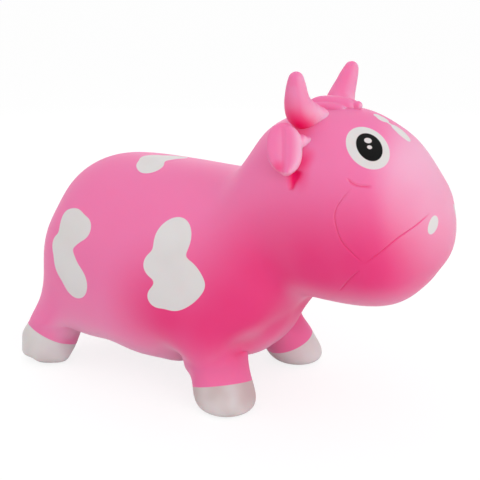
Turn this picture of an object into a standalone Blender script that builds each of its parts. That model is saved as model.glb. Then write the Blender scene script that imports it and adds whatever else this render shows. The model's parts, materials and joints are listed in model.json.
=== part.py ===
"""Bouncy ride-on cow: an inflated animal of soft vinyl for a small child.

The animal is one blown skin, modelled here in its moulded regions. A coarse cage is
built ring by ring along the back, four legs are drawn out of its lower sides, and a
Subdivision Surface swells it the way air does. The swollen skin is then parted into
torso, head, legs and hooves, and each region gets its real wall thickness, so one air
space runs through all of them. Horns and ears sit in round seats in the head, a tail
and a forelock lie on the skin, and a plug closes the valve under the belly.

Metres, +X towards the snout, +Y to the animal's left, +Z up, origin on the floor
under the middle of the animal's length.
"""

import math

import bmesh
import bpy
from mathutils import Matrix, Vector
from mathutils.bvhtree import BVHTree

MM = 0.001

# Torso: lengths are measured from the rump, heights from the floor
TORSO_LENGTH = 375 * MM
TORSO_WIDTH = 258 * MM
SEAT_HEIGHT = 268 * MM
REAR_REACH = 185 * MM

# Head: lengths are measured from the back of the skull, heights from the floor
HEAD_LENGTH = 220 * MM
HEAD_WIDTH = 190 * MM
HEAD_BACK = 152 * MM
CHIN_HEIGHT = 138 * MM
POLL_HEIGHT = 362 * MM

# Legs and hooves
FRONT_FOOT_X = 144 * MM
REAR_FOOT_X = -150 * MM
FRONT_TRACK = 175 * MM
REAR_TRACK = 193 * MM
FRONT_LEG_LEAN = math.radians(20)
REAR_LEG_LEAN = math.radians(25)
LEG_SPLAY = math.radians(12)
LEG_HEIGHT = 56 * MM
LEG_RADIUS = 36 * MM
FRONT_HOOF_HEIGHT = 35 * MM
REAR_HOOF_HEIGHT = 38 * MM
HOOF_RADIUS = 38 * MM
SOLE_RADIUS = 26 * MM

# Skin
WALL = 2.6 * MM
SEAM_GAP = 0.3 * MM

# Horns
HORN_SPACING = 68 * MM
HORN_RISE = 46.5 * MM
HORN_ROOT_RADIUS = 17 * MM
HORN_STANDOFF = 6 * MM
HORN_TILT = math.radians(32)

# Ears
EAR_LENGTH = 56 * MM
EAR_WIDTH = 42 * MM
EAR_THICKNESS = 15 * MM
EAR_CREASE_DEPTH = 2.2 * MM
EAR_ROOT_RADIUS = 9.5 * MM
EAR_MOUTH_RADIUS = 4.5 * MM
EAR_STANDOFF = 2 * MM
EAR_DROP = 16 * MM
EAR_SETBACK = 18 * MM
EAR_OFFSET = 5 * MM
EAR_TURN = math.radians(33)

# Forelock and tail
FORELOCK_LENGTH = 56 * MM
FORELOCK_WIDTH = 40 * MM
FORELOCK_RISE = 10 * MM
FORELOCK_EDGE = 2.6 * MM
TAIL_DROP = 30 * MM
TAIL_TOP = SEAT_HEIGHT - TAIL_DROP
TAIL_LENGTH = 92 * MM
TAIL_WIDTH = 13 * MM
TAIL_TUFT_WIDTH = 24 * MM
TAIL_RISE = 7 * MM
TAIL_EDGE = 1.6 * MM
PAD_ROOT = 1.5 * MM

# Valve
VALVE_X = 5 * MM
VALVE_BORE = 3.6 * MM
VALVE_BARREL_RADIUS = 7 * MM
VALVE_FLANGE_RADIUS = 11 * MM
VALVE_FLANGE_THICKNESS = 1.5 * MM
VALVE_DEPTH = 13 * MM
PLUG_HEAD_RADIUS = 8.5 * MM
PLUG_HEAD_THICKNESS = 2 * MM
PLUG_HEAD_BEVEL = 0.6 * MM

SKIN_COLOUR = (0.83, 0.15, 0.36)
HOOF_COLOUR = (0.78, 0.76, 0.75)
VALVE_COLOUR = (0.74, 0.72, 0.70)
SATIN_SHARE = 0.42

# Each ring of the torso: x at its top and at its bottom as shares of the torso's
# length, height at its top and at its bottom as shares of the seat height, and width
TORSO_RING_SHARES = (
    (0.070, 0.060, 0.70, 0.41, 0.33),
    (0.115, 0.075, 0.855, 0.255, 0.65),
    (0.185, 0.160, 0.970, 0.17, 0.87),
    (0.275, 0.265, 1.016, 0.135, 0.97),
    (0.380, 0.375, 1.024, 0.118, 1.01),
    (0.505, 0.505, 1.022, 0.110, 1.02),
    (0.630, 0.640, 1.018, 0.116, 1.00),
    (0.735, 0.770, 1.012, 0.142, 0.95),
    (0.805, 0.900, 1.024, 0.208, 0.86),
    (0.850, 1.000, 1.114, 0.360, 0.78),
)
# Each ring of the head: x at its top and bottom as shares of the head's length,
# height at its top and bottom as shares from the chin up to the poll, and width
HEAD_RING_SHARES = (
    (-0.02, 0.265, 0.855, 0.000, 0.96),
    (0.175, 0.40, 0.955, -0.002, 1.00),
    (0.40, 0.565, 1.00, -0.004, 1.02),
    (0.63, 0.72, 0.960, 0.012, 1.00),
    (0.81, 0.85, 0.825, 0.070, 0.91),
    (0.930, 0.930, 0.60, 0.205, 0.64),
)
RING_POINTS = 16
QUARTER = RING_POINTS // 4
CAP_BULGE_SHARE = 0.22
# The points of a ring between its side and its bottom, across and down
TORSO_LOWER_SHARES = ((0.97, 0.48), (0.86, 0.86), (0.32, 1.0))
HEAD_LOWER_SHARES = ((0.94, 0.40), (0.76, 0.74), (0.36, 0.96))

# The rings between which each pair of legs is drawn out of the torso
REAR_LEG_RINGS = (1, 2, 3)
FRONT_LEG_RINGS = (6, 7, 8)
NECK_RING = 10
# Each ring of a leg and of a hoof: its height above the floor and its radius, as shares
# of the leg's or of the hoof's. The sole is flat, so its rings have a radius alone.
LEG_RING_SHARES = ((1.11, 1.10), (1.0, 1.05))
HOOF_RING_SHARES = ((1.0, 0.92), (0.56, 1.0), (0.17, 0.96))
SOLE_RING_SHARES = (1.0, 0.5)
LEG_POINTS = 8
# A smooth ring lies inside its cage, so the cage is larger by these shares
CAGE_GROWTH_SHARE = 3 / (2 + math.cos(2 * math.pi / RING_POINTS))
LEG_GROWTH_SHARE = 3 / (2 + math.cos(2 * math.pi / LEG_POINTS))

# The horn's root ball: turns from its mouth inside the head to where it ends
HORN_BALL_TURNS = tuple(math.radians(turn) for turn in (38, 52, 66, 80, 94, 108))
# Each further station of the horn from its pivot, as shares of its rise: forward,
# aside and up, then its radius as a share of the root's
HORN_STATION_SHARES = (
    (0.000, 0.240, 0.130, 0.930),
    (0.010, 0.385, 0.270, 0.840),
    (0.030, 0.485, 0.440, 0.745),
    (0.050, 0.560, 0.610, 0.665),
    (0.070, 0.620, 0.770, 0.590),
    (0.082, 0.660, 0.900, 0.500),
    (0.090, 0.682, 0.985, 0.350),
    (0.094, 0.692, 1.040, 0.000),
)
HORN_SEAT_SHARE = 0.28
HORN_SEGMENTS = 20
BALL_SEGMENTS = 24
TURN_SEGMENTS = 32

EAR_SEAT_SHARE = 0.335
EAR_HEIGHT_SHARE = 0.86
EAR_FORWARD_SHARE = 0.27
EAR_ASIDE_SHARE = 0.42
EAR_FULLNESS_SHARE = 0.62
EAR_CREASE_SHARE = -0.18
EAR_CREASE_WIDTH_SHARE = 0.26
EAR_ROWS = 10
EAR_SEGMENTS = 20

FORELOCK_START_SHARE = 0.25
FORELOCK_TAPER_SHARE = 0.85
FORELOCK_FOLD_SHARE = 0.12
FORELOCK_FOLDS = 2
FORELOCK_ROWS = 10
FORELOCK_COLUMNS = 10
TAIL_TUFT_SHARE = 0.8
TAIL_TUFT_SPREAD_SHARE = 0.2
TAIL_ROWS = 14
TAIL_COLUMNS = 6
PLUG_TAPER_SHARE = 0.82
PLUG_REACH_SHARE = 0.9
SKIN_LEVELS = 1

REGIONS = (
    "torso_skin",
    "head_skin",
    "front_left_leg",
    "front_right_leg",
    "rear_left_leg",
    "rear_right_leg",
    "front_left_hoof",
    "front_right_hoof",
    "rear_left_hoof",
    "rear_right_hoof",
)
# Each leg: the rings it grows between, its foot's x and y, lean and hoof height
LEGS = {
    "front_left": (FRONT_LEG_RINGS, FRONT_FOOT_X, FRONT_TRACK / 2, -FRONT_LEG_LEAN, FRONT_HOOF_HEIGHT),
    "front_right": (FRONT_LEG_RINGS, FRONT_FOOT_X, -FRONT_TRACK / 2, -FRONT_LEG_LEAN, FRONT_HOOF_HEIGHT),
    "rear_left": (REAR_LEG_RINGS, REAR_FOOT_X, REAR_TRACK / 2, REAR_LEG_LEAN, REAR_HOOF_HEIGHT),
    "rear_right": (REAR_LEG_RINGS, REAR_FOOT_X, -REAR_TRACK / 2, REAR_LEG_LEAN, REAR_HOOF_HEIGHT),
}


def clear_scene():
    for obj in list(bpy.data.objects):
        bpy.data.objects.remove(obj, do_unlink=True)


def ring_places():
    """Top point, bottom point and half width of every ring from rump to snout."""
    places = []
    for top_x, bottom_x, top_z, bottom_z, wide in TORSO_RING_SHARES:
        top = Vector((top_x * TORSO_LENGTH - REAR_REACH, 0, top_z * SEAT_HEIGHT))
        bottom = Vector((bottom_x * TORSO_LENGTH - REAR_REACH, 0, bottom_z * SEAT_HEIGHT))
        places.append((top, bottom, wide * TORSO_WIDTH / 2, TORSO_LOWER_SHARES))
    rise = POLL_HEIGHT - CHIN_HEIGHT
    for top_x, bottom_x, top_z, bottom_z, wide in HEAD_RING_SHARES:
        top = Vector((HEAD_BACK + top_x * HEAD_LENGTH, 0, CHIN_HEIGHT + top_z * rise))
        bottom = Vector((HEAD_BACK + bottom_x * HEAD_LENGTH, 0, CHIN_HEIGHT + bottom_z * rise))
        places.append((top, bottom, wide * HEAD_WIDTH / 2, HEAD_LOWER_SHARES))
    return places


def body_ring(bm, top, bottom, half_width, lower_shares):
    """A closed ring of vertices, first the left side, then over the top to the right."""
    middle = (top + bottom) / 2
    up = (top - bottom) / 2 * CAGE_GROWTH_SHARE
    side = Vector((0, half_width * CAGE_GROWTH_SHARE, 0))
    ring = []
    for index in range(RING_POINTS):
        angle = 2 * math.pi * index / RING_POINTS
        across, along = math.cos(angle), math.sin(angle)
        if index > RING_POINTS - QUARTER:
            across, down = lower_shares[RING_POINTS - index - 1]
            along = -down
        elif RING_POINTS // 2 < index < RING_POINTS - QUARTER:
            across, down = lower_shares[index - RING_POINTS // 2 - 1]
            across, along = -across, -down
        ring.append(bm.verts.new(middle + side * across + up * along))
    return ring


def join_rings(bm, first, second, region, skip=()):
    """Quads between two rings of equal length; skip lists quads that are left open."""
    count = len(first)
    for index in range(count):
        if index in skip:
            continue
        after = (index + 1) % count
        face = bm.faces.new((first[index], second[index], second[after], first[after]))
        face.material_index = region


def cap_ring(bm, ring, bulge, region):
    """Closes a ring with a grid of quads whose middle stands out by the bulge vector."""
    side = len(ring) // 4
    corners = [ring[side * index] for index in range(4)]
    grid = {}
    for index in range(side):
        grid[(index, 0)] = ring[index]
        grid[(side, index)] = ring[side + index]
        grid[(side - index, side)] = ring[2 * side + index]
        grid[(0, side - index)] = ring[3 * side + index]
    places = {key: vert.co.copy() for key, vert in grid.items()}
    for row in range(1, side):
        for column in range(1, side):
            u, v = row / side, column / side
            across = places[(0, column)] * (1 - u) + places[(side, column)] * u
            along = places[(row, 0)] * (1 - v) + places[(row, side)] * v
            plain = (
                corners[0].co * (1 - u) * (1 - v)
                + corners[1].co * u * (1 - v)
                + corners[2].co * u * v
                + corners[3].co * (1 - u) * v
            )
            swell = 16 * u * (1 - u) * v * (1 - v)
            grid[(row, column)] = bm.verts.new(across + along - plain + bulge * swell)
    for row in range(side):
        for column in range(side):
            face = bm.faces.new(
                (
                    grid[(row, column)],
                    grid[(row + 1, column)],
                    grid[(row + 1, column + 1)],
                    grid[(row, column + 1)],
                )
            )
            face.material_index = region


def leg_ring(bm, loop, centre, radius):
    """A level ring of vertices that faces the loop which the leg is drawn from."""
    up = Vector((0, 0, 1))
    aim = loop[0].co - centre
    first = (aim - up * aim.dot(up)).normalized()
    second = up.cross(first)
    turn = -1 if second.dot(loop[1].co - centre) < 0 else 1
    grown = radius * LEG_GROWTH_SHARE
    ring = []
    for index in range(LEG_POINTS):
        angle = turn * 2 * math.pi * index / LEG_POINTS
        place = centre + grown * (first * math.cos(angle) + second * math.sin(angle))
        ring.append(bm.verts.new(place))
    return ring


def draw_leg(bm, rings, name):
    """Draws one leg and its hoof out of four quads of the torso."""
    (rear, middle, front), foot_x, foot_y, lean, hoof_height = LEGS[name]
    side = math.copysign(1, foot_y)
    mid = RING_POINTS - QUARTER // 2 if side > 0 else RING_POINTS // 2 + QUARTER // 2
    low, high = mid - 1, mid + 1
    loop = [
        rings[rear][low], rings[middle][low], rings[front][low], rings[front][mid],
        rings[front][high], rings[middle][high], rings[rear][high], rings[rear][mid],
    ]
    bm.verts.remove(rings[middle][mid])
    leg_region = REGIONS.index(f"{name}_leg")
    hoof_region = REGIONS.index(f"{name}_hoof")
    foot = Vector((foot_x, foot_y, 0))
    axis = Vector((math.tan(lean), -side * math.tan(LEG_SPLAY), 1))
    steps = [(height * LEG_HEIGHT, radius * LEG_RADIUS) for height, radius in LEG_RING_SHARES]
    steps += [(height * hoof_height, radius * HOOF_RADIUS) for height, radius in HOOF_RING_SHARES]
    steps += [(0, radius * SOLE_RADIUS) for radius in SOLE_RING_SHARES]
    torso_region = REGIONS.index("torso_skin")
    above_hoof = len(LEG_RING_SHARES)
    last = loop
    for index, (height, radius) in enumerate(steps):
        ring = leg_ring(bm, last, foot + axis * height, radius)
        if index < above_hoof:
            region = torso_region
        else:
            region = leg_region if index == above_hoof else hoof_region
        join_rings(bm, last, ring, region)
        last = ring
    cap_ring(bm, last, Vector((0, 0, 0)), hoof_region)


def skin_cage():
    """The whole animal's cage: rings from rump to snout, capped, with four legs."""
    bm = bmesh.new()
    places = ring_places()
    rings = [body_ring(bm, *place) for place in places]
    lower_left = RING_POINTS - QUARTER // 2
    lower_right = RING_POINTS // 2 + QUARTER // 2
    leg_quads = (lower_left - 1, lower_left, lower_right - 1, lower_right)
    leg_rings = REAR_LEG_RINGS[:2] + FRONT_LEG_RINGS[:2]
    for index in range(len(rings) - 1):
        region = REGIONS.index("torso_skin" if index < NECK_RING else "head_skin")
        skip = leg_quads if index in leg_rings else ()
        join_rings(bm, rings[index], rings[index + 1], region, skip)
    rump = Vector((-CAP_BULGE_SHARE * REAR_REACH / 2, 0, 0))
    snout = Vector((CAP_BULGE_SHARE * HEAD_LENGTH / 2, 0, 0))
    cap_ring(bm, rings[0], rump, REGIONS.index("torso_skin"))
    cap_ring(bm, rings[-1], snout, REGIONS.index("head_skin"))
    for name in LEGS:
        draw_leg(bm, rings, name)
    bmesh.ops.recalc_face_normals(bm, faces=bm.faces)
    mesh = bpy.data.meshes.new("skin_cage")
    bm.to_mesh(mesh)
    bm.free()
    for _ in REGIONS:
        mesh.materials.append(None)
    return mesh


def swollen(mesh, levels):
    """The cage's smooth skin, its vertices on the smooth surface itself."""
    obj = bpy.data.objects.new("swelling", mesh)
    bpy.context.scene.collection.objects.link(obj)
    modifier = obj.modifiers.new("swell", "SUBSURF")
    modifier.levels = modifier.render_levels = levels
    graph = bpy.context.evaluated_depsgraph_get()
    made = bpy.data.meshes.new_from_object(obj.evaluated_get(graph))
    bpy.data.objects.remove(obj, do_unlink=True)
    return made


def new_object(name, places, faces, origin=Vector((0, 0, 0))):
    """A mesh object whose origin stands at the given place."""
    mesh = bpy.data.meshes.new(name)
    mesh.from_pydata([place - origin for place in places], [], faces)
    mesh.shade_smooth()
    obj = bpy.data.objects.new(name, mesh)
    obj.location = origin
    bpy.context.scene.collection.objects.link(obj)
    return obj


def finish(obj, colour):
    """Gives a piece its own satin vinyl."""
    material = bpy.data.materials.new(f"{obj.name}_vinyl")
    material.use_nodes = True
    shader = material.node_tree.nodes["Principled BSDF"]
    shader.inputs["Base Color"].default_value = (*colour, 1)
    shader.inputs["Roughness"].default_value = SATIN_SHARE
    shader.inputs["Metallic"].default_value = 0
    obj.data.materials.append(material)


def boundary_edges(faces):
    """The directed edges that only one of the faces uses, in that face's direction."""
    directed = set()
    for face in faces:
        for index, vertex in enumerate(face):
            directed.add((vertex, face[(index + 1) % len(face)]))
    return [edge for edge in directed if (edge[1], edge[0]) not in directed]


def shell(places, normals, faces, pull_back):
    """Gives open skin its wall: an outer face, an inner face and a rim on each border.

    Every border is drawn back into the skin's own area by pull_back, so that two
    neighbours keep a seam between them.
    """
    used = sorted({vertex for face in faces for vertex in face})
    index_of = {vertex: index for index, vertex in enumerate(used)}
    count = len(used)
    border = sorted(boundary_edges(faces))
    tangents = {}
    for start, end in border:
        along = (places[end] - places[start]).normalized()
        tangents[start] = tangents.get(start, Vector()) + along
        tangents[end] = tangents.get(end, Vector()) + along
    insides = {}
    for face in faces:
        middle = sum((places[vertex] for vertex in face), Vector()) / len(face)
        for vertex in face:
            if vertex in tangents:
                insides[vertex] = insides.get(vertex, Vector()) + middle - places[vertex]
    outer, inner = [], []
    for vertex in used:
        place = places[vertex].copy()
        if vertex in tangents:
            back = normals[vertex].cross(tangents[vertex]).normalized()
            if back.dot(insides[vertex]) < 0:
                back.negate()
            place += back * pull_back
        outer.append(place)
        inner.append(place - normals[vertex] * WALL)
    made = []
    for face in faces:
        made.append([index_of[vertex] for vertex in face])
        made.append([index_of[vertex] + count for vertex in reversed(face)])
    for start, end in border:
        first, last = index_of[start], index_of[end]
        made.append([last, first, first + count, last + count])
    return outer + inner, made


def cutter(obj):
    obj.hide_render = True
    obj.display_type = "WIRE"
    return obj


def boolean(obj, operation, other):
    modifier = obj.modifiers.new(operation.lower(), "BOOLEAN")
    modifier.operation = operation
    modifier.solver = "EXACT"
    modifier.object = other


def ball(name, centre, radius, axis):
    """A round cutter whose poles lie on the given axis."""
    bm = bmesh.new()
    bmesh.ops.create_uvsphere(
        bm, u_segments=BALL_SEGMENTS, v_segments=BALL_SEGMENTS // 2, radius=radius
    )
    turn = axis.to_track_quat("Z", "Y").to_matrix().to_4x4()
    bmesh.ops.transform(bm, matrix=Matrix.Translation(centre) @ turn, verts=bm.verts)
    mesh = bpy.data.meshes.new(name)
    bm.to_mesh(mesh)
    bm.free()
    obj = bpy.data.objects.new(name, mesh)
    bpy.context.scene.collection.objects.link(obj)
    return cutter(obj)


def add_ring(places, rows, centre, first, second, radius, segments):
    """Adds a round row of places, or a single place where the radius is nothing."""
    start = len(places)
    if radius == 0:
        places.append(centre)
        rows.append([start])
        return
    for index in range(segments):
        angle = 2 * math.pi * index / segments
        places.append(centre + radius * (first * math.cos(angle) + second * math.sin(angle)))
    rows.append(list(range(start, start + segments)))


def row_faces(low, high):
    """The faces between two rows, either of which may be a single place."""
    count = max(len(low), len(high))
    faces = []
    for index in range(count):
        after = (index + 1) % count
        if len(low) == 1:
            faces.append([low[0], high[after], high[index]])
        elif len(high) == 1:
            faces.append([low[index], low[after], high[0]])
        else:
            faces.append([low[index], low[after], high[after], high[index]])
    return faces


def turned_object(name, profile, seat):
    """A solid turned about the upright line through its seat.

    The profile runs up its outside. Where it starts off the axis, it closes round a bore.
    """
    places, rows = [], []
    for radius, height in profile:
        centre = seat + Vector((0, 0, height))
        add_ring(places, rows, centre, Vector((1, 0, 0)), Vector((0, 1, 0)), radius, TURN_SEGMENTS)
    pairs = list(zip(rows, rows[1:]))
    if profile[0][0] > 0:
        pairs.append((rows[-1], rows[0]))
    faces = [face for low, high in pairs for face in row_faces(low, high)]
    return new_object(name, places, faces, seat)


def swept(stations, segments):
    """Places and faces of open skin through round rings, closed by a point at its end.

    A station is a centre, the direction that its ring faces and its radius.
    """
    places, rows = [], []
    side = Vector((1, 0, 0))
    for centre, direction, radius in stations:
        direction = direction.normalized()
        side = (side - direction * side.dot(direction)).normalized()
        add_ring(places, rows, centre, side, direction.cross(side), radius, segments)
    return places, [face for low, high in zip(rows, rows[1:]) for face in row_faces(low, high)]


def outward_normals(places, faces):
    """Vertex normals weighted by the area of the faces round each vertex."""
    normals = [Vector() for _ in places]
    for face in faces:
        area = Vector()
        for index, vertex in enumerate(face):
            area += places[vertex].cross(places[face[(index + 1) % len(face)]])
        for vertex in face:
            normals[vertex] += area
    return [normal.normalized() for normal in normals]


def mirrored(places, faces):
    """The same form on the animal's left."""
    flipped = [Vector((place.x, -place.y, place.z)) for place in places]
    return flipped, [list(reversed(face)) for face in faces]


def skin_hit(tree, start, direction):
    """Where a line meets the skin, and the skin's outward direction there."""
    place, normal, _, _ = tree.ray_cast(Vector(start), Vector(direction))
    if normal.dot(Vector(direction)) > 0:
        normal = -normal
    return place, normal


def horn_skin(pivot, outward):
    """The right horn: a ball root in the head, a bend, and a rising blunt tip."""
    stations = []
    for turn in HORN_BALL_TURNS:
        centre = pivot - outward * HORN_ROOT_RADIUS * math.cos(turn)
        stations.append((centre, outward, HORN_ROOT_RADIUS * math.sin(turn)))
    last = stations[-1][0]
    for forward, aside, rise, radius in HORN_STATION_SHARES:
        centre = pivot + Vector((forward, -aside, rise)) * HORN_RISE
        stations.append((centre, centre - last, radius * HORN_ROOT_RADIUS))
        last = centre
    return swept(stations, HORN_SEGMENTS)


def ear_frame():
    """Directions of the right ear: along its leaf, across it, and out of its face."""
    along = Vector((EAR_FORWARD_SHARE, -EAR_ASIDE_SHARE, -1)).normalized()
    across = Vector((math.cos(EAR_TURN), math.sin(EAR_TURN), 0))
    across = (across - along * across.dot(along)).normalized()
    return along, across, along.cross(across)


def ear_leaf(middle):
    """The right ear's leaf: a thick oval pad with a crease down its outer face."""
    along, across, out = ear_frame()
    places, rows = [], []
    for row in range(EAR_ROWS + 1):
        slope = math.pi * row / EAR_ROWS
        reach = -math.cos(slope) * EAR_LENGTH / 2
        swell = math.sin(slope) ** EAR_FULLNESS_SHARE
        if row in (0, EAR_ROWS):
            rows.append([len(places)])
            places.append(middle + along * reach)
            continue
        rows.append(list(range(len(places), len(places) + EAR_SEGMENTS)))
        for index in range(EAR_SEGMENTS):
            angle = 2 * math.pi * index / EAR_SEGMENTS
            wide = math.cos(angle) * EAR_WIDTH / 2 * swell
            thick = math.sin(angle) * EAR_THICKNESS / 2 * swell
            from_crease = (math.cos(angle) - EAR_CREASE_SHARE) / EAR_CREASE_WIDTH_SHARE
            if math.sin(angle) > 0:
                thick -= EAR_CREASE_DEPTH * swell * math.exp(-from_crease * from_crease)
            places.append(middle + along * reach + across * wide + out * thick)
    return places, [face for low, high in zip(rows, rows[1:]) for face in row_faces(low, high)]


def pad(tree, rows, columns, place_of, height_of):
    """A raised pad on the skin, its foot sunk a little so that it can be trimmed.

    place_of gives a start and a direction for a line that meets the skin.
    """
    foot, top = [], []
    for row in range(rows + 1):
        for column in range(columns + 1):
            start, direction = place_of(row / rows, column / columns)
            place, normal = skin_hit(tree, start, direction)
            foot.append(place - normal * PAD_ROOT)
            top.append(place + normal * (SEAM_GAP + height_of(row / rows, column / columns)))
    width = columns + 1
    faces = []
    for row in range(rows):
        for column in range(columns):
            corner = row * width + column
            quad = [corner, corner + 1, corner + width + 1, corner + width]
            faces.append(quad)
    count = len(foot)
    made = [list(reversed(face)) for face in faces]
    made += [[vertex + count for vertex in face] for face in faces]
    for start, end in boundary_edges(faces):
        made.append([start, end, end + count, start + count])
    places = foot + top
    solid = 0
    for face in made:
        a, b, c = (places[vertex] for vertex in face[:3])
        solid += a.dot(b.cross(c))
        if len(face) == 4:
            solid += a.dot(c.cross(places[face[3]]))
    if solid < 0:
        made = [list(reversed(face)) for face in made]
    return places, made


def skin_block(name, skin, clearance):
    """The whole animal grown by a clearance, as one solid to trim other pieces with."""
    places, normals, faces = skin
    grown = [place + normal * clearance for place, normal in zip(places, normals)]
    return cutter(new_object(name, grown, faces))


def build_skin():
    """Parts the swollen skin into its regions and gives each one its wall."""
    mesh = swollen(skin_cage(), SKIN_LEVELS)
    places = [vertex.co.copy() for vertex in mesh.vertices]
    normals = [vertex.normal.copy() for vertex in mesh.vertices]
    by_region = [[] for _ in REGIONS]
    for face in mesh.polygons:
        by_region[face.material_index].append(list(face.vertices))
    all_faces = [face for faces in by_region for face in faces]
    nodes = {}
    for region, faces in zip(REGIONS, by_region):
        origin = Vector((0, 0, 0))
        if region.endswith("_hoof"):
            foot = LEGS[region[: -len("_hoof")]]
            origin = Vector((foot[1], foot[2], 0))
        solid, made = shell(places, normals, faces, SEAM_GAP / 2)
        nodes[region] = new_object(region, solid, made, origin)
    skin = (places, normals, all_faces)
    rooms = (
        skin_block("skin_room", skin, SEAM_GAP),
        skin_block("skin_wall_room", skin, SEAM_GAP + WALL),
    )
    return nodes, BVHTree.FromPolygons(places, all_faces), rooms


def build_horns(nodes, tree):
    horn_x = HEAD_BACK + HORN_SEAT_SHARE * HEAD_LENGTH
    seat, normal = skin_hit(tree, (horn_x, -HORN_SPACING / 2, POLL_HEIGHT * 2), (0, 0, -1))
    pivot = seat + normal * HORN_STANDOFF
    outward = Vector((0, -math.cos(HORN_TILT), math.sin(HORN_TILT)))
    places, faces = horn_skin(pivot, outward)
    for name, side in (("right_horn", 1), ("left_horn", -1)):
        origin = Vector((pivot.x, pivot.y * side, pivot.z))
        form = (places, faces) if side > 0 else mirrored(places, faces)
        solid, made = shell(form[0], outward_normals(*form), form[1], 0)
        nodes[name] = new_object(name, solid, made, origin)
        axis = Vector((0, outward.y * side, outward.z))
        seat_cut = ball(f"{name}_seat", origin, HORN_ROOT_RADIUS + SEAM_GAP, axis)
        boolean(nodes["head_skin"], "DIFFERENCE", seat_cut)


def build_ears(nodes, tree, skin_room, skin_wall_room):
    ear_x = HEAD_BACK + EAR_SEAT_SHARE * HEAD_LENGTH
    ear_z = CHIN_HEIGHT + EAR_HEIGHT_SHARE * (POLL_HEIGHT - CHIN_HEIGHT)
    seat, normal = skin_hit(tree, (ear_x, -HEAD_WIDTH, ear_z), (0, 1, 0))
    pivot = seat + normal * EAR_STANDOFF
    along, across, out = ear_frame()
    middle = pivot + along * EAR_DROP - across * EAR_SETBACK + out * EAR_OFFSET
    leaf = ear_leaf(middle)
    leaf_normals = outward_normals(*leaf)
    hollow = [place - away * WALL for place, away in zip(leaf[0], leaf_normals)]
    for name, side in (("right_ear", 1), ("left_ear", -1)):
        origin = Vector((pivot.x, pivot.y * side, pivot.z))
        inward = Vector((-normal.x, -normal.y * side, -normal.z))
        outer = leaf if side > 0 else mirrored(*leaf)
        inner = (hollow, leaf[1]) if side > 0 else mirrored(hollow, leaf[1])
        ear = new_object(name, *outer, origin)
        boolean(ear, "DIFFERENCE", skin_room)
        root = ball(f"{name}_root", origin, EAR_ROOT_RADIUS, inward)
        boolean(ear, "UNION", root)
        room = cutter(new_object(f"{name}_room", *inner, origin))
        boolean(room, "DIFFERENCE", skin_wall_room)
        boolean(ear, "DIFFERENCE", room)
        root_room = ball(f"{name}_root_room", origin, EAR_ROOT_RADIUS - WALL, inward)
        boolean(ear, "DIFFERENCE", root_room)
        mouth = origin + inward * EAR_ROOT_RADIUS
        boolean(ear, "DIFFERENCE", ball(f"{name}_mouth", mouth, EAR_MOUTH_RADIUS, inward))
        nodes[name] = ear
        seat_cut = ball(f"{name}_seat", origin, EAR_ROOT_RADIUS + SEAM_GAP, inward)
        boolean(nodes["head_skin"], "DIFFERENCE", seat_cut)


def build_forelock(nodes, tree, skin_room):
    """The lock of hair moulded on the poll, between the horns."""
    start_x = HEAD_BACK + FORELOCK_START_SHARE * HEAD_LENGTH

    def place_of(row, column):
        aside = 2 * column - 1
        narrow = math.sqrt(max(0, 1 - (2 * row - 1) ** 2 * FORELOCK_TAPER_SHARE))
        forward = start_x + row * FORELOCK_LENGTH
        return (forward, aside * narrow * FORELOCK_WIDTH / 2, POLL_HEIGHT * 2), (0, 0, -1)

    def height_of(row, column):
        aside = 2 * column - 1
        dome = (1 - aside**4) * (1 - (2 * row - 1) ** 4)
        fold = FORELOCK_FOLD_SHARE * math.cos(math.pi * aside * FORELOCK_FOLDS)
        return FORELOCK_EDGE + (FORELOCK_RISE - FORELOCK_EDGE) * dome * (1 - fold)

    places, faces = pad(tree, FORELOCK_ROWS, FORELOCK_COLUMNS, place_of, height_of)
    nodes["forelock"] = new_object("forelock", places, faces)
    boolean(nodes["forelock"], "DIFFERENCE", skin_room)


def build_tail(nodes, tree, skin_room):
    """The tail moulded down the middle of the rump, ending in a tuft."""
    def place_of(row, column):
        aside = 2 * column - 1
        wide = TAIL_WIDTH + (TAIL_TUFT_WIDTH - TAIL_WIDTH) * tuft_share(row)
        height = TAIL_TOP - row * TAIL_LENGTH
        return (-2 * TORSO_LENGTH, aside * wide / 2, height), (1, 0, 0)

    def tuft_share(row):
        return math.exp(-(((row - TAIL_TUFT_SHARE) / TAIL_TUFT_SPREAD_SHARE) ** 2))

    def height_of(row, column):
        aside = 2 * column - 1
        dome = (1 - aside**2) * (1 - (2 * row - 1) ** 8)
        return TAIL_EDGE + (TAIL_RISE - TAIL_EDGE) * dome

    places, faces = pad(tree, TAIL_ROWS, TAIL_COLUMNS, place_of, height_of)
    nodes["tail"] = new_object("tail", places, faces)
    boolean(nodes["tail"], "DIFFERENCE", skin_room)


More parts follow.
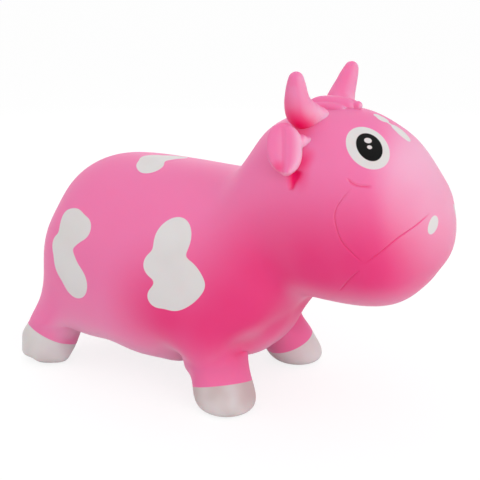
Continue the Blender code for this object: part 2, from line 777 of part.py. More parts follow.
def build_valve(nodes, tree):
    """The valve under the belly: a bush welded into the skin, and its plug."""
    belly, _ = skin_hit(tree, (VALVE_X, 0, -SEAT_HEIGHT), (0, 0, 1))
    seat = Vector((VALVE_X, 0, belly.z - SEAM_GAP))
    low = -VALVE_FLANGE_THICKNESS
    bush = [
        (VALVE_BORE, low),
        (VALVE_FLANGE_RADIUS, low),
        (VALVE_FLANGE_RADIUS, 0),
        (VALVE_BARREL_RADIUS, 0),
        (VALVE_BARREL_RADIUS, VALVE_DEPTH),
        (VALVE_BORE, VALVE_DEPTH),
    ]
    nodes["valve_insert"] = turned_object("valve_insert", bush, seat)
    hole = [
        (0, -VALVE_DEPTH),
        (VALVE_BARREL_RADIUS + SEAM_GAP, -VALVE_DEPTH),
        (VALVE_BARREL_RADIUS + SEAM_GAP, VALVE_DEPTH),
        (0, VALVE_DEPTH),
    ]
    boolean(nodes["torso_skin"], "DIFFERENCE", cutter(turned_object("valve_hole", hole, seat)))
    head = low - SEAM_GAP
    stem = VALVE_BORE - SEAM_GAP
    plug = [
        (0, head - PLUG_HEAD_THICKNESS),
        (PLUG_HEAD_RADIUS - PLUG_HEAD_BEVEL, head - PLUG_HEAD_THICKNESS),
        (PLUG_HEAD_RADIUS, head - PLUG_HEAD_THICKNESS + PLUG_HEAD_BEVEL),
        (PLUG_HEAD_RADIUS, head),
        (stem, head),
        (stem * PLUG_TAPER_SHARE, VALVE_DEPTH * PLUG_REACH_SHARE),
        (0, VALVE_DEPTH * PLUG_REACH_SHARE),
    ]
    nodes["valve_plug"] = turned_object("valve_plug", plug, seat)


def centre_lengthways():
    """Moves everything so that the middle of the animal's length is at x = 0."""
    bpy.context.view_layer.update()
    graph = bpy.context.evaluated_depsgraph_get()
    ends = []
    for obj in bpy.data.objects:
        if obj.hide_render:
            continue
        evaluated = obj.evaluated_get(graph)
        ends += [(obj.matrix_world @ Vector(corner)).x for corner in evaluated.bound_box]
    middle = (min(ends) + max(ends)) / 2
    for obj in bpy.data.objects:
        obj.location.x -= middle


def build():
    clear_scene()
    nodes, tree, (skin_room, skin_wall_room) = build_skin()
    build_horns(nodes, tree)
    build_ears(nodes, tree, skin_room, skin_wall_room)
    build_forelock(nodes, tree, skin_room)
    build_tail(nodes, tree, skin_room)
    build_valve(nodes, tree)
    for name, obj in nodes.items():
        if name.startswith("valve"):
            finish(obj, VALVE_COLOUR)
        else:
            finish(obj, HOOF_COLOUR if name.endswith("hoof") else SKIN_COLOUR)
    centre_lengthways()


build()
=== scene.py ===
# %% [markdown]
# A bouncy ride-on cow. The real toy is one blown skin of soft pink vinyl, filled with air,
# with white patches, eyes and hooves painted on it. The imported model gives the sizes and
# the joints, and this script dresses it: each soft region is modelled again as a smooth
# mesh in the same place, and every finish is made of shader nodes.

# %% Load the frame
import json
import math

import bmesh
import bpy
import numpy as np
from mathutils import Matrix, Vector
from mathutils.bvhtree import BVHTree
from mathutils.kdtree import KDTree


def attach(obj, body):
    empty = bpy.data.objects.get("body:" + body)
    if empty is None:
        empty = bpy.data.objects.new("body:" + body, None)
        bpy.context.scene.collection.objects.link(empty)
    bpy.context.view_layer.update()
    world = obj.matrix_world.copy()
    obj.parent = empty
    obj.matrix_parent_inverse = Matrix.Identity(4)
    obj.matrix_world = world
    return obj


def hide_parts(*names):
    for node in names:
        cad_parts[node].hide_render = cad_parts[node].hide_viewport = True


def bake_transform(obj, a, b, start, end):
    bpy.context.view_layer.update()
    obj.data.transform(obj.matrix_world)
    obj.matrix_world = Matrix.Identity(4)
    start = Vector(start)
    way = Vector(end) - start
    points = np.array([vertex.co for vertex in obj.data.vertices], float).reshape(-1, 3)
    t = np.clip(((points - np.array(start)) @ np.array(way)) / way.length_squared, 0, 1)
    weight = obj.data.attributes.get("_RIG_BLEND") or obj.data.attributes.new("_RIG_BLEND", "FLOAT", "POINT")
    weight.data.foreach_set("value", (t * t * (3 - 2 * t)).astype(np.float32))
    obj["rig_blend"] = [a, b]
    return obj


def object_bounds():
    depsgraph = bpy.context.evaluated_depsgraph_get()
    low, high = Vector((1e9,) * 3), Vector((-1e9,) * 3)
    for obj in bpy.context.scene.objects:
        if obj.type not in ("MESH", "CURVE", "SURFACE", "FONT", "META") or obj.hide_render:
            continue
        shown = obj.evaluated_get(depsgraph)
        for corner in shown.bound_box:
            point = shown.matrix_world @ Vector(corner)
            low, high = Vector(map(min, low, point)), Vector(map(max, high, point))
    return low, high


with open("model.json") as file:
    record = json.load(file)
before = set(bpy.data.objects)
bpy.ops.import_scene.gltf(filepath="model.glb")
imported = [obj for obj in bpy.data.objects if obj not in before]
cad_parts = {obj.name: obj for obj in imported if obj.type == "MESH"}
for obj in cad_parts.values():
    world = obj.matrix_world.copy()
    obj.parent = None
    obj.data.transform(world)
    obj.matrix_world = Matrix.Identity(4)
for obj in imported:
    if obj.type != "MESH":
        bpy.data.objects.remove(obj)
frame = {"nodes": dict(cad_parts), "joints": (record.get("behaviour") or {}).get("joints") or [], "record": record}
cad_low, cad_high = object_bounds()
MM = 0.001
joints = {joint["name"]: joint for joint in frame["joints"]}
mounts = {mount["name"]: mount for mount in frame["record"]["mounts"]}
print("the packed model is", [round((high - low) / MM, 1) for low, high in zip(cad_low, cad_high)], "mm")

# %% [markdown]
# The blown skin is one smooth surface, so it could be sculpted, lofted or swollen from a
# coarse cage. A cage with a Subdivision Surface is the way here, because the solids of the
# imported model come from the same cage, so the smooth skin lies on them. The cage is built
# ring by ring from rump to snout, and each ring needs only its top, its bottom and its width.

# %% Sizes of the cage
TORSO_LENGTH = 375 * MM
TORSO_WIDTH = 258 * MM
SEAT_HEIGHT = 268 * MM
REAR_REACH = 185 * MM
HEAD_LENGTH = 220 * MM
HEAD_WIDTH = 190 * MM
HEAD_BACK = 152 * MM
CHIN_HEIGHT = 138 * MM
POLL_HEIGHT = 362 * MM
FRONT_FOOT_X = 144 * MM
REAR_FOOT_X = -150 * MM
LEG_SPLAY = math.radians(12)
LEG_HEIGHT = 56 * MM
LEG_RADIUS = 36 * MM
HOOF_RADIUS = 38 * MM
SOLE_RADIUS = 26 * MM
# The cage is drawn from its own middle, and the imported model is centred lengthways
SHIFT = Vector((mounts["front_left_sole"]["pos_m"][0] - FRONT_FOOT_X, 0, 0))
# Rings of the torso and the head: x at top and bottom, height at top and bottom, width
TORSO_RING_SHARES = (
    (0.070, 0.060, 0.70, 0.41, 0.33),
    (0.115, 0.075, 0.855, 0.255, 0.65),
    (0.185, 0.160, 0.970, 0.17, 0.87),
    (0.275, 0.265, 1.016, 0.135, 0.97),
    (0.380, 0.375, 1.024, 0.118, 1.01),
    (0.505, 0.505, 1.022, 0.110, 1.02),
    (0.630, 0.640, 1.018, 0.116, 1.00),
    (0.735, 0.770, 1.012, 0.142, 0.95),
    (0.805, 0.900, 1.024, 0.208, 0.86),
    (0.850, 1.000, 1.114, 0.360, 0.78),
)
HEAD_RING_SHARES = (
    (-0.02, 0.265, 0.855, 0.000, 0.96),
    (0.175, 0.40, 0.955, -0.002, 1.00),
    (0.40, 0.565, 1.00, -0.004, 1.02),
    (0.63, 0.72, 0.960, 0.012, 1.00),
    (0.81, 0.85, 0.825, 0.070, 0.91),
    (0.930, 0.930, 0.60, 0.205, 0.64),
)
# Lower points of a ring, from the side to the belly: shares of half width and half height
TORSO_LOWER_SHARES = ((0.97, 0.48), (0.86, 0.86), (0.32, 1.0))
HEAD_LOWER_SHARES = ((0.94, 0.40), (0.76, 0.74), (0.36, 0.96))
RING_POINTS = 16
LEG_POINTS = 8
CAP_BULGE_SHARE = 0.22
# Rings of a leg and a hoof: shares of height and radius; rings of a sole: shares of radius
LEG_RING_SHARES = ((1.11, 1.10), (1.0, 1.05))
HOOF_RING_SHARES = ((1.0, 0.92), (0.56, 1.0), (0.17, 0.96))
SOLE_RING_SHARES = (1.0, 0.5)
# Each leg: the rings that it grows between, its foot's x and y, lean and hoof height
LEGS = {
    "front_left": ((6, 7, 8), FRONT_FOOT_X, 1, math.radians(-20), 35 * MM),
    "front_right": ((6, 7, 8), FRONT_FOOT_X, -1, math.radians(-20), 35 * MM),
    "rear_left": ((1, 2, 3), REAR_FOOT_X, 1, math.radians(25), 38 * MM),
    "rear_right": ((1, 2, 3), REAR_FOOT_X, -1, math.radians(25), 38 * MM),
}
REGIONS = ["body", *LEGS]
print("cage:", len(TORSO_RING_SHARES), "rings on the torso and", len(HEAD_RING_SHARES), "on the head")

# %% [markdown]
# A real blown toy has round, taut sections everywhere, which flatten a little at the belly.
# Each ring could be a plain circle, but the belly would then be too full, so the lower side
# of a ring follows its own shares. Subdivision pulls a ring inwards, so it is drawn larger.

# %% Rings of the cage
def grown_share(points):
    """How much larger a cage ring is than the smooth ring inside it."""
    return 3 / (2 + math.cos(2 * math.pi / points))


def ring_places():
    """Top, bottom, half width and lower shares of every ring from rump to snout."""
    places = []
    for top_x, bottom_x, top_z, bottom_z, wide in TORSO_RING_SHARES:
        top = Vector((top_x * TORSO_LENGTH - REAR_REACH, 0, top_z * SEAT_HEIGHT))
        bottom = Vector((bottom_x * TORSO_LENGTH - REAR_REACH, 0, bottom_z * SEAT_HEIGHT))
        places.append((top, bottom, wide * TORSO_WIDTH / 2, TORSO_LOWER_SHARES))
    rise = POLL_HEIGHT - CHIN_HEIGHT
    for top_x, bottom_x, top_z, bottom_z, wide in HEAD_RING_SHARES:
        top = Vector((HEAD_BACK + top_x * HEAD_LENGTH, 0, CHIN_HEIGHT + top_z * rise))
        bottom = Vector((HEAD_BACK + bottom_x * HEAD_LENGTH, 0, CHIN_HEIGHT + bottom_z * rise))
        places.append((top, bottom, wide * HEAD_WIDTH / 2, HEAD_LOWER_SHARES))
    return places


def body_ring(bm, top, bottom, half_width, lower_shares):
    """A closed ring of vertices, first the left side, then over the top to the right."""
    middle = (top + bottom) / 2
    grown = grown_share(RING_POINTS)
    up, side = (top - bottom) / 2 * grown, Vector((0, half_width * grown, 0))
    quarter = RING_POINTS // 4
    ring = []
    for index in range(RING_POINTS):
        angle = 2 * math.pi * index / RING_POINTS
        across, along = math.cos(angle), math.sin(angle)
        if index > RING_POINTS - quarter:
            across, down = lower_shares[RING_POINTS - index - 1]
            along = -down
        elif RING_POINTS // 2 < index < RING_POINTS - quarter:
            across, down = lower_shares[index - RING_POINTS // 2 - 1]
            across, along = -across, -down
        ring.append(bm.verts.new(middle + side * across + up * along))
    return ring


def join_rings(bm, first, second, region, skip=()):
    """Quads between two rings; skip lists the quads that stay open."""
    count = len(first)
    for index in range(count):
        if index not in skip:
            after = (index + 1) % count
            face = bm.faces.new((first[index], second[index], second[after], first[after]))
            face.material_index = region


# %% [markdown]
# Rump, snout and soles are closed ends. A fan of triangles would pinch under subdivision,
# so each end is a grid of quads. The grid's middle stands out by a bulge, like air behind it.

# %% Ends of the cage
# This makes the bulge whole at the grid's middle, where both shares are a half
BULGE_GAIN = 16


def cap_ring(bm, ring, bulge, region):
    """Closes a ring with a grid of quads whose middle stands out by the bulge."""
    side = len(ring) // 4
    corners = [ring[side * index].co for index in range(4)]
    grid = {}
    for index in range(side):
        grid[(index, 0)] = ring[index]
        grid[(side, index)] = ring[side + index]
        grid[(side - index, side)] = ring[2 * side + index]
        grid[(0, side - index)] = ring[3 * side + index]
    places = {key: vert.co.copy() for key, vert in grid.items()}
    for row in range(1, side):
        for column in range(1, side):
            u, v = row / side, column / side
            across = places[(0, column)] * (1 - u) + places[(side, column)] * u
            along = places[(row, 0)] * (1 - v) + places[(row, side)] * v
            plain = corners[0] * (1 - u) * (1 - v) + corners[1] * u * (1 - v)
            plain += corners[2] * u * v + corners[3] * (1 - u) * v
            swell = BULGE_GAIN * u * (1 - u) * v * (1 - v)
            grid[(row, column)] = bm.verts.new(across + along - plain + bulge * swell)
    for row in range(side):
        for column in range(side):
            steps = ((row, column), (row + 1, column), (row + 1, column + 1), (row, column + 1))
            face = bm.faces.new([grid[step] for step in steps])
            face.material_index = region


# %% [markdown]
# The legs of the toy swell out of its belly without a seam. They could be cylinders joined
# by a Boolean, but that leaves a hard edge, so each leg is drawn out of four open quads of
# the torso, ring by ring down to its flat sole, and subdivision rounds the whole.

# %% Legs of the cage
def leg_ring(bm, loop, centre, radius):
    """A level ring of vertices that faces the loop which the leg is drawn from."""
    up = Vector((0, 0, 1))
    aim = loop[0].co - centre
    first = (aim - up * aim.dot(up)).normalized()
    second = up.cross(first)
    turn = -1 if second.dot(loop[1].co - centre) < 0 else 1
    ring = []
    for index in range(LEG_POINTS):
        angle = turn * 2 * math.pi * index / LEG_POINTS
        spoke = first * math.cos(angle) + second * math.sin(angle)
        ring.append(bm.verts.new(centre + spoke * radius * grown_share(LEG_POINTS)))
    return ring


def draw_leg(bm, rings, name):
    """Draws one leg and its hoof out of four quads of the torso."""
    (rear, middle, front), foot_x, side, lean, hoof_height = LEGS[name]
    foot_y = mounts[f"{name}_sole"]["pos_m"][1]
    eighth = RING_POINTS // 8
    mid = RING_POINTS - eighth if side > 0 else RING_POINTS // 2 + eighth
    low, high = mid - 1, mid + 1
    loop = [
        rings[rear][low], rings[middle][low], rings[front][low], rings[front][mid],
        rings[front][high], rings[middle][high], rings[rear][high], rings[rear][mid],
    ]
    bm.verts.remove(rings[middle][mid])
    axis = Vector((math.tan(lean), -side * math.tan(LEG_SPLAY), 1))
    steps = [(height * LEG_HEIGHT, radius * LEG_RADIUS) for height, radius in LEG_RING_SHARES]
    steps += [(height * hoof_height, radius * HOOF_RADIUS) for height, radius in HOOF_RING_SHARES]
    steps += [(0, radius * SOLE_RADIUS) for radius in SOLE_RING_SHARES]
    last = loop
    for index, (height, radius) in enumerate(steps):
        ring = leg_ring(bm, last, Vector((foot_x, foot_y, 0)) + axis * height, radius)
        own = index >= len(LEG_RING_SHARES)
        join_rings(bm, last, ring, REGIONS.index(name) if own else 0)
        last = ring
    cap_ring(bm, last, Vector((0, 0, 0)), REGIONS.index(name))


# %% [markdown]
# Now the rings are joined with quads from rump to snout. Quads stay open where a leg grows,
# both ends are capped, and each face remembers its region, so that the skin can be parted
# where a hoof moves.

# %% Whole cage
def skin_cage():
    """The whole animal's cage: rings from rump to snout, capped, with four legs."""
    bm = bmesh.new()
    rings = [body_ring(bm, *place) for place in ring_places()]
    left, right = RING_POINTS - RING_POINTS // 8, RING_POINTS // 2 + RING_POINTS // 8
    open_quads = (left - 1, left, right - 1, right)
    open_rings = {ring for leg in LEGS.values() for ring in leg[0][:2]}
    for index in range(len(rings) - 1):
        join_rings(bm, rings[index], rings[index + 1], 0, open_quads if index in open_rings else ())
    cap_ring(bm, rings[0], Vector((-CAP_BULGE_SHARE * REAR_REACH / 2, 0, 0)), 0)
    cap_ring(bm, rings[-1], Vector((CAP_BULGE_SHARE * HEAD_LENGTH / 2, 0, 0)), 0)
    for name in LEGS:
        draw_leg(bm, rings, name)
    bmesh.ops.translate(bm, vec=SHIFT, verts=bm.verts)
    bmesh.ops.recalc_face_normals(bm, faces=bm.faces)
    mesh = bpy.data.meshes.new("skin_cage")
    bm.to_mesh(mesh)
    bm.free()
    for _ in REGIONS:
        mesh.materials.append(None)
    return mesh


cage = skin_cage()
print("cage:", len(cage.vertices), "points and", len(cage.polygons), "faces")


# %% [markdown]
# The Subdivision Surface could stay a live modifier, but creases and paint need real points,
# so it is applied at once: three levels for the skin itself, and five for a finer reference
# that new points are laid on. A search tree of the reference gives the place on the skin for
# everything that sits on it.

# %% Swell the cage
SKIN_LEVELS = 3
REFERENCE_LEVELS = 5


def new_object(name, data):
    """An object in the scene with this mesh, light or camera."""
    obj = bpy.data.objects.new(name, data)
    bpy.context.scene.collection.objects.link(obj)
    return obj


def with_modifiers(name, mesh, *modifiers):
    """The mesh after these modifiers, each a type and its settings."""
    obj = new_object(name, mesh)
    for kind, settings in modifiers:
        modifier = obj.modifiers.new(kind.lower(), kind)
        for key, value in settings.items():
            setattr(modifier, key, value)
    graph = bpy.context.evaluated_depsgraph_get()
    made = bpy.data.meshes.new_from_object(obj.evaluated_get(graph))
    bpy.data.objects.remove(obj, do_unlink=True)
    return made


def swollen(levels):
    """The cage after that many levels of subdivision."""
    return with_modifiers("swelling", cage.copy(), ("SUBSURF", {"levels": levels, "render_levels": levels}))


skin = swollen(SKIN_LEVELS)
reference = new_object("reference", swollen(REFERENCE_LEVELS))
bpy.context.view_layer.update()
surface = BVHTree.FromObject(reference, bpy.context.evaluated_depsgraph_get())
bpy.data.objects.remove(reference, do_unlink=True)
print("skin:", len(skin.polygons), "faces")


def on_skin(start, direction):
    """Where a line meets the skin, and the outward direction there."""
    place, normal, _, _ = surface.ray_cast(Vector(start), Vector(direction))
    return place, normal


# %% [markdown]
# The face has shallow creases pressed into the mould: a short smile under each eye, a line
# that rounds the cheek, one from the cheek to the nostril and one under the jaw. They could
# be bump maps, but pressed lines catch the light from every side only as real shape. Each
# line is a smooth curve through a few points, laid on the skin and copied to the other side.

# %% Creases of the face
# Each crease: its points on the right side in millimetres, depth, half width at both ends, and how much vivid
# painted shade it gets
CREASES = {
    "smile": (
        ((190.6, -81.3, 298.8), (197.3, -82.1, 294.6), (204.7, -80.8, 292.1), (216.9, -76.0, 291.7)),
        1.8, 1.3, 1.3, 0.35,
    ),
    "cheek": (
        ((198.5, -84.2, 289.9), (191.3, -89.3, 279.5), (185.7, -93.3, 267.9), (185.7, -94.7, 255.4),
         (193.1, -94.4, 236.1), (205.1, -92.4, 223.5), (217.0, -87.9, 212.5)),
        1.3, 0.75, 0.75, 0.25,
    ),
    "muzzle": (
        ((217.0, -87.9, 212.5), (231.5, -84.0, 226.0), (245.3, -74.6, 240.6), (255.5, -54.0, 251.5),
         (262.1, -33.1, 260.6)),
        1.3, 0.75, 0.7, 0.25,
    ),
    "jaw": (((212.6, -87.3, 204.9), (200.1, -84.3, 191.8), (184.7, -75.6, 173.8)), 1.3, 0.75, 0.75, 0.25),
    "ear_fold": (((132.0, -88.0, 304.0), (131.0, -88.0, 292.0), (130.9, -89.8, 279.0)), 3.6, 7.5, 2.5, 0.75),
}
CREASE_STEP = 0.8 * MM
# A crease fades in and out over one part in this many of its length
CREASE_FADE_PARTS = 5
print("creases:", len(CREASES), "on each side")

# %% Lines on the skin
def curve_through(points, step):
    """Points at about the given step along a smooth curve through the given points."""
    ends = [points[0] * 2 - points[1], *points, points[-1] * 2 - points[-2]]
    made = []
    for a, b, c, d in zip(ends, ends[1:], ends[2:], ends[3:]):
        count = max(2, round((c - b).length / step))
        for index in range(count):
            t = index / count
            bend = b * 2 + (c - a) * t + (a * 2 - b * 5 + c * 4 - d) * t**2 + (b * 3 - a - c * 3 + d) * t**3
            made.append(bend / 2)
    return [*made, points[-1]]


def crease_points():
    """Every crease's points on the skin, both sides: place, depth, half width and painted shade."""
    made = []
    for places, depth, first_width, last_width, crease_shade in CREASES.values():
        line = curve_through([Vector(place) * MM for place in places], CREASE_STEP)
        for index, place in enumerate(line):
            share = index / (len(line) - 1)
            fade = math.sin(min(1, CREASE_FADE_PARTS * min(share, 1 - share)) * math.pi / 2)
            width = first_width + (last_width - first_width) * share
            for side in (1, -1):
                spot = surface.find_nearest(Vector((place.x, place.y * side, place.z)))[0]
                made.append((spot, depth * fade * MM, width * MM, crease_shade * fade))
    return made


line_points = crease_points()
print("crease lines:", len(line_points), "points")

# %% [markdown]
# A blown skin isn't quite what the cage gives: the brow is fuller, the chest drawn in, the
# heels rounded. A sculptor would push these places with a soft brush. Here each push is a
# bell-shaped bump, along the skin's normal or in a fixed direction, the same on both sides.

# %% Broad touches
# Touches: place on the right side, reach and push outwards, in millimetres
TOUCHES = {
    "bridge of the nose": ((268, 0, 277), 30, 3.5),
    "poll": ((106, 0, 366), 20, 3.5),
    "side of the nape": ((58, -45, 305), 26, -3.5),
    "nape": ((58, 0, 308), 26, -2.6),
    "nape below the poll": ((84, 0, 338), 20, -1.2),
    "breast": ((104, 0, 112), 32, -6.0),
    "belly between the front legs": ((48, -10, 53), 30, 5.5),
    "rear leg above the hoof": ((-240, -105, 62), 18, 2.5),
    "belly by the rear leg": ((-110, -52, 42), 30, -2.5),
    "belly by the front leg": ((-5, -70, 45), 28, 2.0),
    "side of the breast": ((100, -62, 112), 26, -3.5),
    "muzzle below the nostril": ((272, -30, 226), 24, -2.5),
    "face below the eye": ((228, -45, 304), 26, -0.6),
    "brow over the eye": ((190, -38, 338), 22, -2.0),
    "chin": ((256, -12, 178), 18, 1.5),
    "muzzle over the nostril": ((256, -40, 268), 22, 3.0),
    "under the jaw": ((205, 0, 140), 40, -1.3),
    "side of the rump": ((-222, -80, 212), 34, -3.2),
}
# Moves: place on the right side, reach, and how far the skin moves there, in millimetres
MOVES = {
    "belly behind the front leg": ((-30, -66, 44), 26, (0, 0, -10)),
    "flank behind the front leg": ((-9, -90, 49), 15, (-6, 0, -7.5)),
    "flank before the rear leg": ((-122, -98, 50), 36, (0, 0, 6.5)),
    "shoulder": ((64, -80, 78), 26, (-11, 7, 0)),
    "breast beside the leg": ((84, -45, 97), 20, (-6, 4, 0)),
    "inside of the front leg": ((58, -58, 56), 16, (-3.5, 2, 0)),
    "front of the front leg": ((64, -66, 72), 18, (-6, 4, 0)),
    "outside of the front leg": ((46, -103, 60), 16, (-6, 3.5, 0)),
    "front hoof": ((46, -88, 8), 30, (-1.2, 1.8, 0)),
    "outside of the rear hoof": ((-244, -128, 4), 13, (2, 2.5, 3)),
    "toe of the rear hoof": ((-213, -98, 6), 14, (6, 0, -2)),
    "heel above the rear hoof": ((-260, -108, 38), 18, (-6, -4.5, 0)),
    "heel of the rear hoof": ((-268, -112, 0), 28, (4.5, 3, 6.5)),
    "front of the rear leg": ((-192, -92, 34), 18, (-5, -3, 0)),
}
print("touches:", len(TOUCHES), "pushes and", len(MOVES), "moves")

# %% Bells on the skin
def mirrored_right(place):
    """The place, or its mirror image on the right side."""
    return Vector((place.x, -abs(place.y), place.z))


def bell(place, centre, reach):
    """1 at a centre in millimetres, and falling off like a bell over its reach."""
    return math.exp(-(((place - Vector(centre) * MM).length / (reach * MM)) ** 2))


def touch_push(place):
    """How far the broad touches push the skin out at a place."""
    place = mirrored_right(place)
    return sum(push * MM * bell(place, centre, reach) for centre, reach, push in TOUCHES.values())


def broad_move(place):
    """How the broad moves shift the skin at a place."""
    side = math.copysign(1, place.y)
    place = mirrored_right(place)
    total = Vector()
    for centre, reach, move in MOVES.values():
        total += Vector((move[0], -side * move[1], move[2])) * MM * bell(place, centre, reach)
    return total


print("bell:", round(bell(Vector((MM, 0, 0)), (0, 0, 0), 1), 3), "of the push is left one reach away")

# %% [markdown]
# The skin's faces are too large to hold a line about 1.5 mm wide. Cutting the whole skin
# finer would cost a million faces, so only those near a crease are cut, and the new points
# are laid on the fine reference before all points move at once.

# %% Press the skin
CREASE_CUTS = 7
# How far from a crease faces are cut: a margin, and a number of half widths
CREASE_MARGIN = 3 * MM
CREASE_REACH = 2.2
# How many half widths away a crease still presses
DIP_REACH = 4


def crease_tree(points):
    """A search tree over the creases' points."""
    tree = KDTree(len(points))
    for index, point in enumerate(points):
        tree.insert(point[0], index)
    tree.balance()
    return tree


def cut_finer(bm, points, tree):
    """Cuts the faces near the creases and lays their new points on the reference."""
    near = []
    for face in bm.faces:
        _, index, distance = tree.find(face.calc_center_median())
        if distance < CREASE_MARGIN + CREASE_REACH * points[index][2]:
            near.append(face)
    edges = list({edge for face in near for edge in face.edges})
    old = set(bm.verts)
    bmesh.ops.subdivide_edges(bm, edges=edges, cuts=CREASE_CUTS, use_grid_fill=True)
    for vert in bm.verts:
        if vert not in old:
            vert.co = surface.find_nearest(vert.co)[0]
    print("creases:", len(near), "faces cut finer,", len(bm.faces), "faces in all")


def press(bm, layer, points, tree):
    """Moves all points at once: into the creases, and by the touches and moves."""
    moves = []
    for vert in bm.verts:
        _, index, distance = tree.find(vert.co)
        _, depth, width, crease_shade = points[index]
        dip = math.exp(-((distance / width) ** 2)) if distance < DIP_REACH * width else 0
        # The crease's share of vivid painted shade
        vert[layer] = dip * crease_shade
        moves.append(vert.normal * (touch_push(vert.co) - depth * dip) + broad_move(vert.co))
    for vert, move in zip(bm.verts, moves):
        vert.co += move


skin_bm = bmesh.new()
skin_bm.from_mesh(skin)
# Each point keeps its share of the creases' vivid painted shade
pressed_layer = skin_bm.verts.layers.float.new("pressed")
line_tree = crease_tree(line_points)
cut_finer(skin_bm, line_points, line_tree)
skin_bm.normal_update()
press(skin_bm, pressed_layer, line_points, line_tree)
skin_bm.normal_update()

# %% [markdown]
# The skin is parted where a hoof can rise: the body is one piece, and each leg with its hoof
# is another that bends from the body to the foot. Their normals come from the whole skin, so
# no seam shows between them. A copy of every point's place at rest is kept with the mesh,
# and the paint is mapped on that copy, so that it moves with the skin.

# %% Part the skin
def fitted(place):
    """The place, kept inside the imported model's box."""
    return Vector([min(max(value, low), high) for value, low, high in zip(place, cad_low, cad_high)])


def part_skin(bm):
    """One mesh object per region of the skin."""
    pieces = {}
    for region, name in enumerate(REGIONS):
        faces = [face for face in bm.faces if face.material_index == region]
        verts = sorted({vert for face in faces for vert in face.verts}, key=lambda vert: vert.index)
        index_of = {vert: index for index, vert in enumerate(verts)}
        mesh = bpy.data.meshes.new(f"{name}_skin")
        corners = [[index_of[vert] for vert in face.verts] for face in faces]
        mesh.from_pydata([fitted(vert.co) for vert in verts], [], corners)
        mesh.shade_smooth()
        mesh.normals_split_custom_set_from_vertices([vert.normal for vert in verts])
        layer = bm.verts.layers.float["pressed"]
        pressed = mesh.attributes.new("pressed", "FLOAT", "POINT")
        pressed.data.foreach_set("value", [vert[layer] for vert in verts])
        pieces[name] = new_object(f"{name}_skin", mesh)
    return pieces


def store(mesh, name, vectors):
    """Keeps one vector for each of the mesh's points under this name."""
    flat = np.array(vectors, np.float32).ravel()
    mesh.attributes.new(name, "FLOAT_VECTOR", "POINT").data.foreach_set("vector", flat)


def keep_rest(obj):
    """Stores every point's place and direction at rest, for paint that moves with the skin."""
    store(obj.data, "rest", [vert.co for vert in obj.data.vertices])
    store(obj.data, "rest_normal", [vert.normal for vert in obj.data.vertices])


skin_bm.verts.index_update()
skins = part_skin(skin_bm)
skin_bm.free()
for obj in skins.values():
    keep_rest(obj)
print("skin pieces:", {name: len(obj.data.polygons) for name, obj in skins.items()})

# %% [markdown]
# A finish is worked out by shader nodes, which could be wired one by one. Maths reads best
# as plain sums, though, so a small class wraps a socket and turns + - * into Math nodes.

# %% Sums on sockets
class Signal:
    """A socket of a node, on which sums can be written."""

    def __init__(self, nodes, socket):
        self.nodes = nodes
        self.socket = socket

    def math(self, operation, *others):
        return self.nodes.add("ShaderNodeMath", {"operation": operation}, [self, *others])

    def __add__(self, other):
        return self.math("ADD", other)

    __radd__ = __add__

    def __mul__(self, other):
        return self.math("MULTIPLY", other)

    __rmul__ = __mul__

    def __sub__(self, other):
        return self.math("SUBTRACT", other)

    def __rsub__(self, other):
        return self.nodes.add("ShaderNodeMath", {"operation": "SUBTRACT"}, [other, self])

    def __neg__(self):
        return 0 - self

    def clamped(self):
        """Kept between 0 and 1."""
        return self.nodes.add("ShaderNodeMath", {"operation": "ADD", "use_clamp": True}, [self, 0])

    def most(self, other):
        return self.math("MAXIMUM", other)

    def ramp(self, low, high):
        """0 below low, 1 above high, smooth in between."""
        ends = {"Value": self, "From Min": low, "From Max": high}
        return self.nodes.add("ShaderNodeMapRange", {"interpolation_type": "SMOOTHSTEP"}, ends)


# %% [markdown]
# Any other node comes from one method: its type, its settings, and then the values or links
# of its sockets. A material and the world are both trees of nodes, so one class serves both,
# and a finish adds its material's shader to that.

# %% Trees of nodes
# Sockets of a Mix node that belong to colours: the share, both colours and the result
MIX_SHARE, MIX_FIRST, MIX_SECOND, MIX_RESULT = 0, 6, 7, 2


class Nodes:
    """A tree of nodes under construction, of a material or of the world."""

    def __init__(self, tree):
        self.tree = tree

    def put(self, socket, value):
        """Links a signal to the socket, or sets the socket's own value."""
        if isinstance(value, Signal):
            self.tree.links.new(value.socket, socket)
        else:
            socket.default_value = value

    def add(self, kind, settings=None, inputs=(), output=0):
        """A node: its type, its settings, then its sockets by name or in order."""
        node = self.tree.nodes.new(kind)
        for key, value in (settings or {}).items():
            setattr(node, key, value)
        named = inputs.items() if isinstance(inputs, dict) else enumerate(inputs)
        for key, value in named:
            self.put(node.inputs[key], value)
        return Signal(self, node.outputs[output])

    def attribute(self, name, output="Vector"):
        """What is stored under this name with the mesh's points."""
        return self.add("ShaderNodeAttribute", {"attribute_name": name}, output=output)

    def split(self, vector):
        """The three numbers of a vector."""
        node = self.add("ShaderNodeSeparateXYZ", {}, [vector]).socket.node
        return [Signal(self, socket) for socket in node.outputs]

    def vector(self, operation, first, second, output="Vector"):
        return self.add("ShaderNodeVectorMath", {"operation": operation}, [first, second], output)

    def mix(self, share, first, second):
        """A colour between two, by a share."""
        inputs = {MIX_SHARE: share, MIX_FIRST: first, MIX_SECOND: second}
        return self.add("ShaderNodeMix", {"data_type": "RGBA"}, inputs, MIX_RESULT)

    def noise(self, place, scale, detail=2):
        return self.add("ShaderNodeTexNoise", {}, {"Vector": place, "Scale": scale, "Detail": detail})

    def seen(self):
        """1 for rays of the eye, of gloss and through glass, 0 for the light on things."""
        rays = self.add("ShaderNodeLightPath").socket.node.outputs
        total = Signal(self, rays["Is Camera Ray"])
        for kind in ("Is Glossy Ray", "Is Transmission Ray"):
            total = total.most(Signal(self, rays[kind]))
        return total


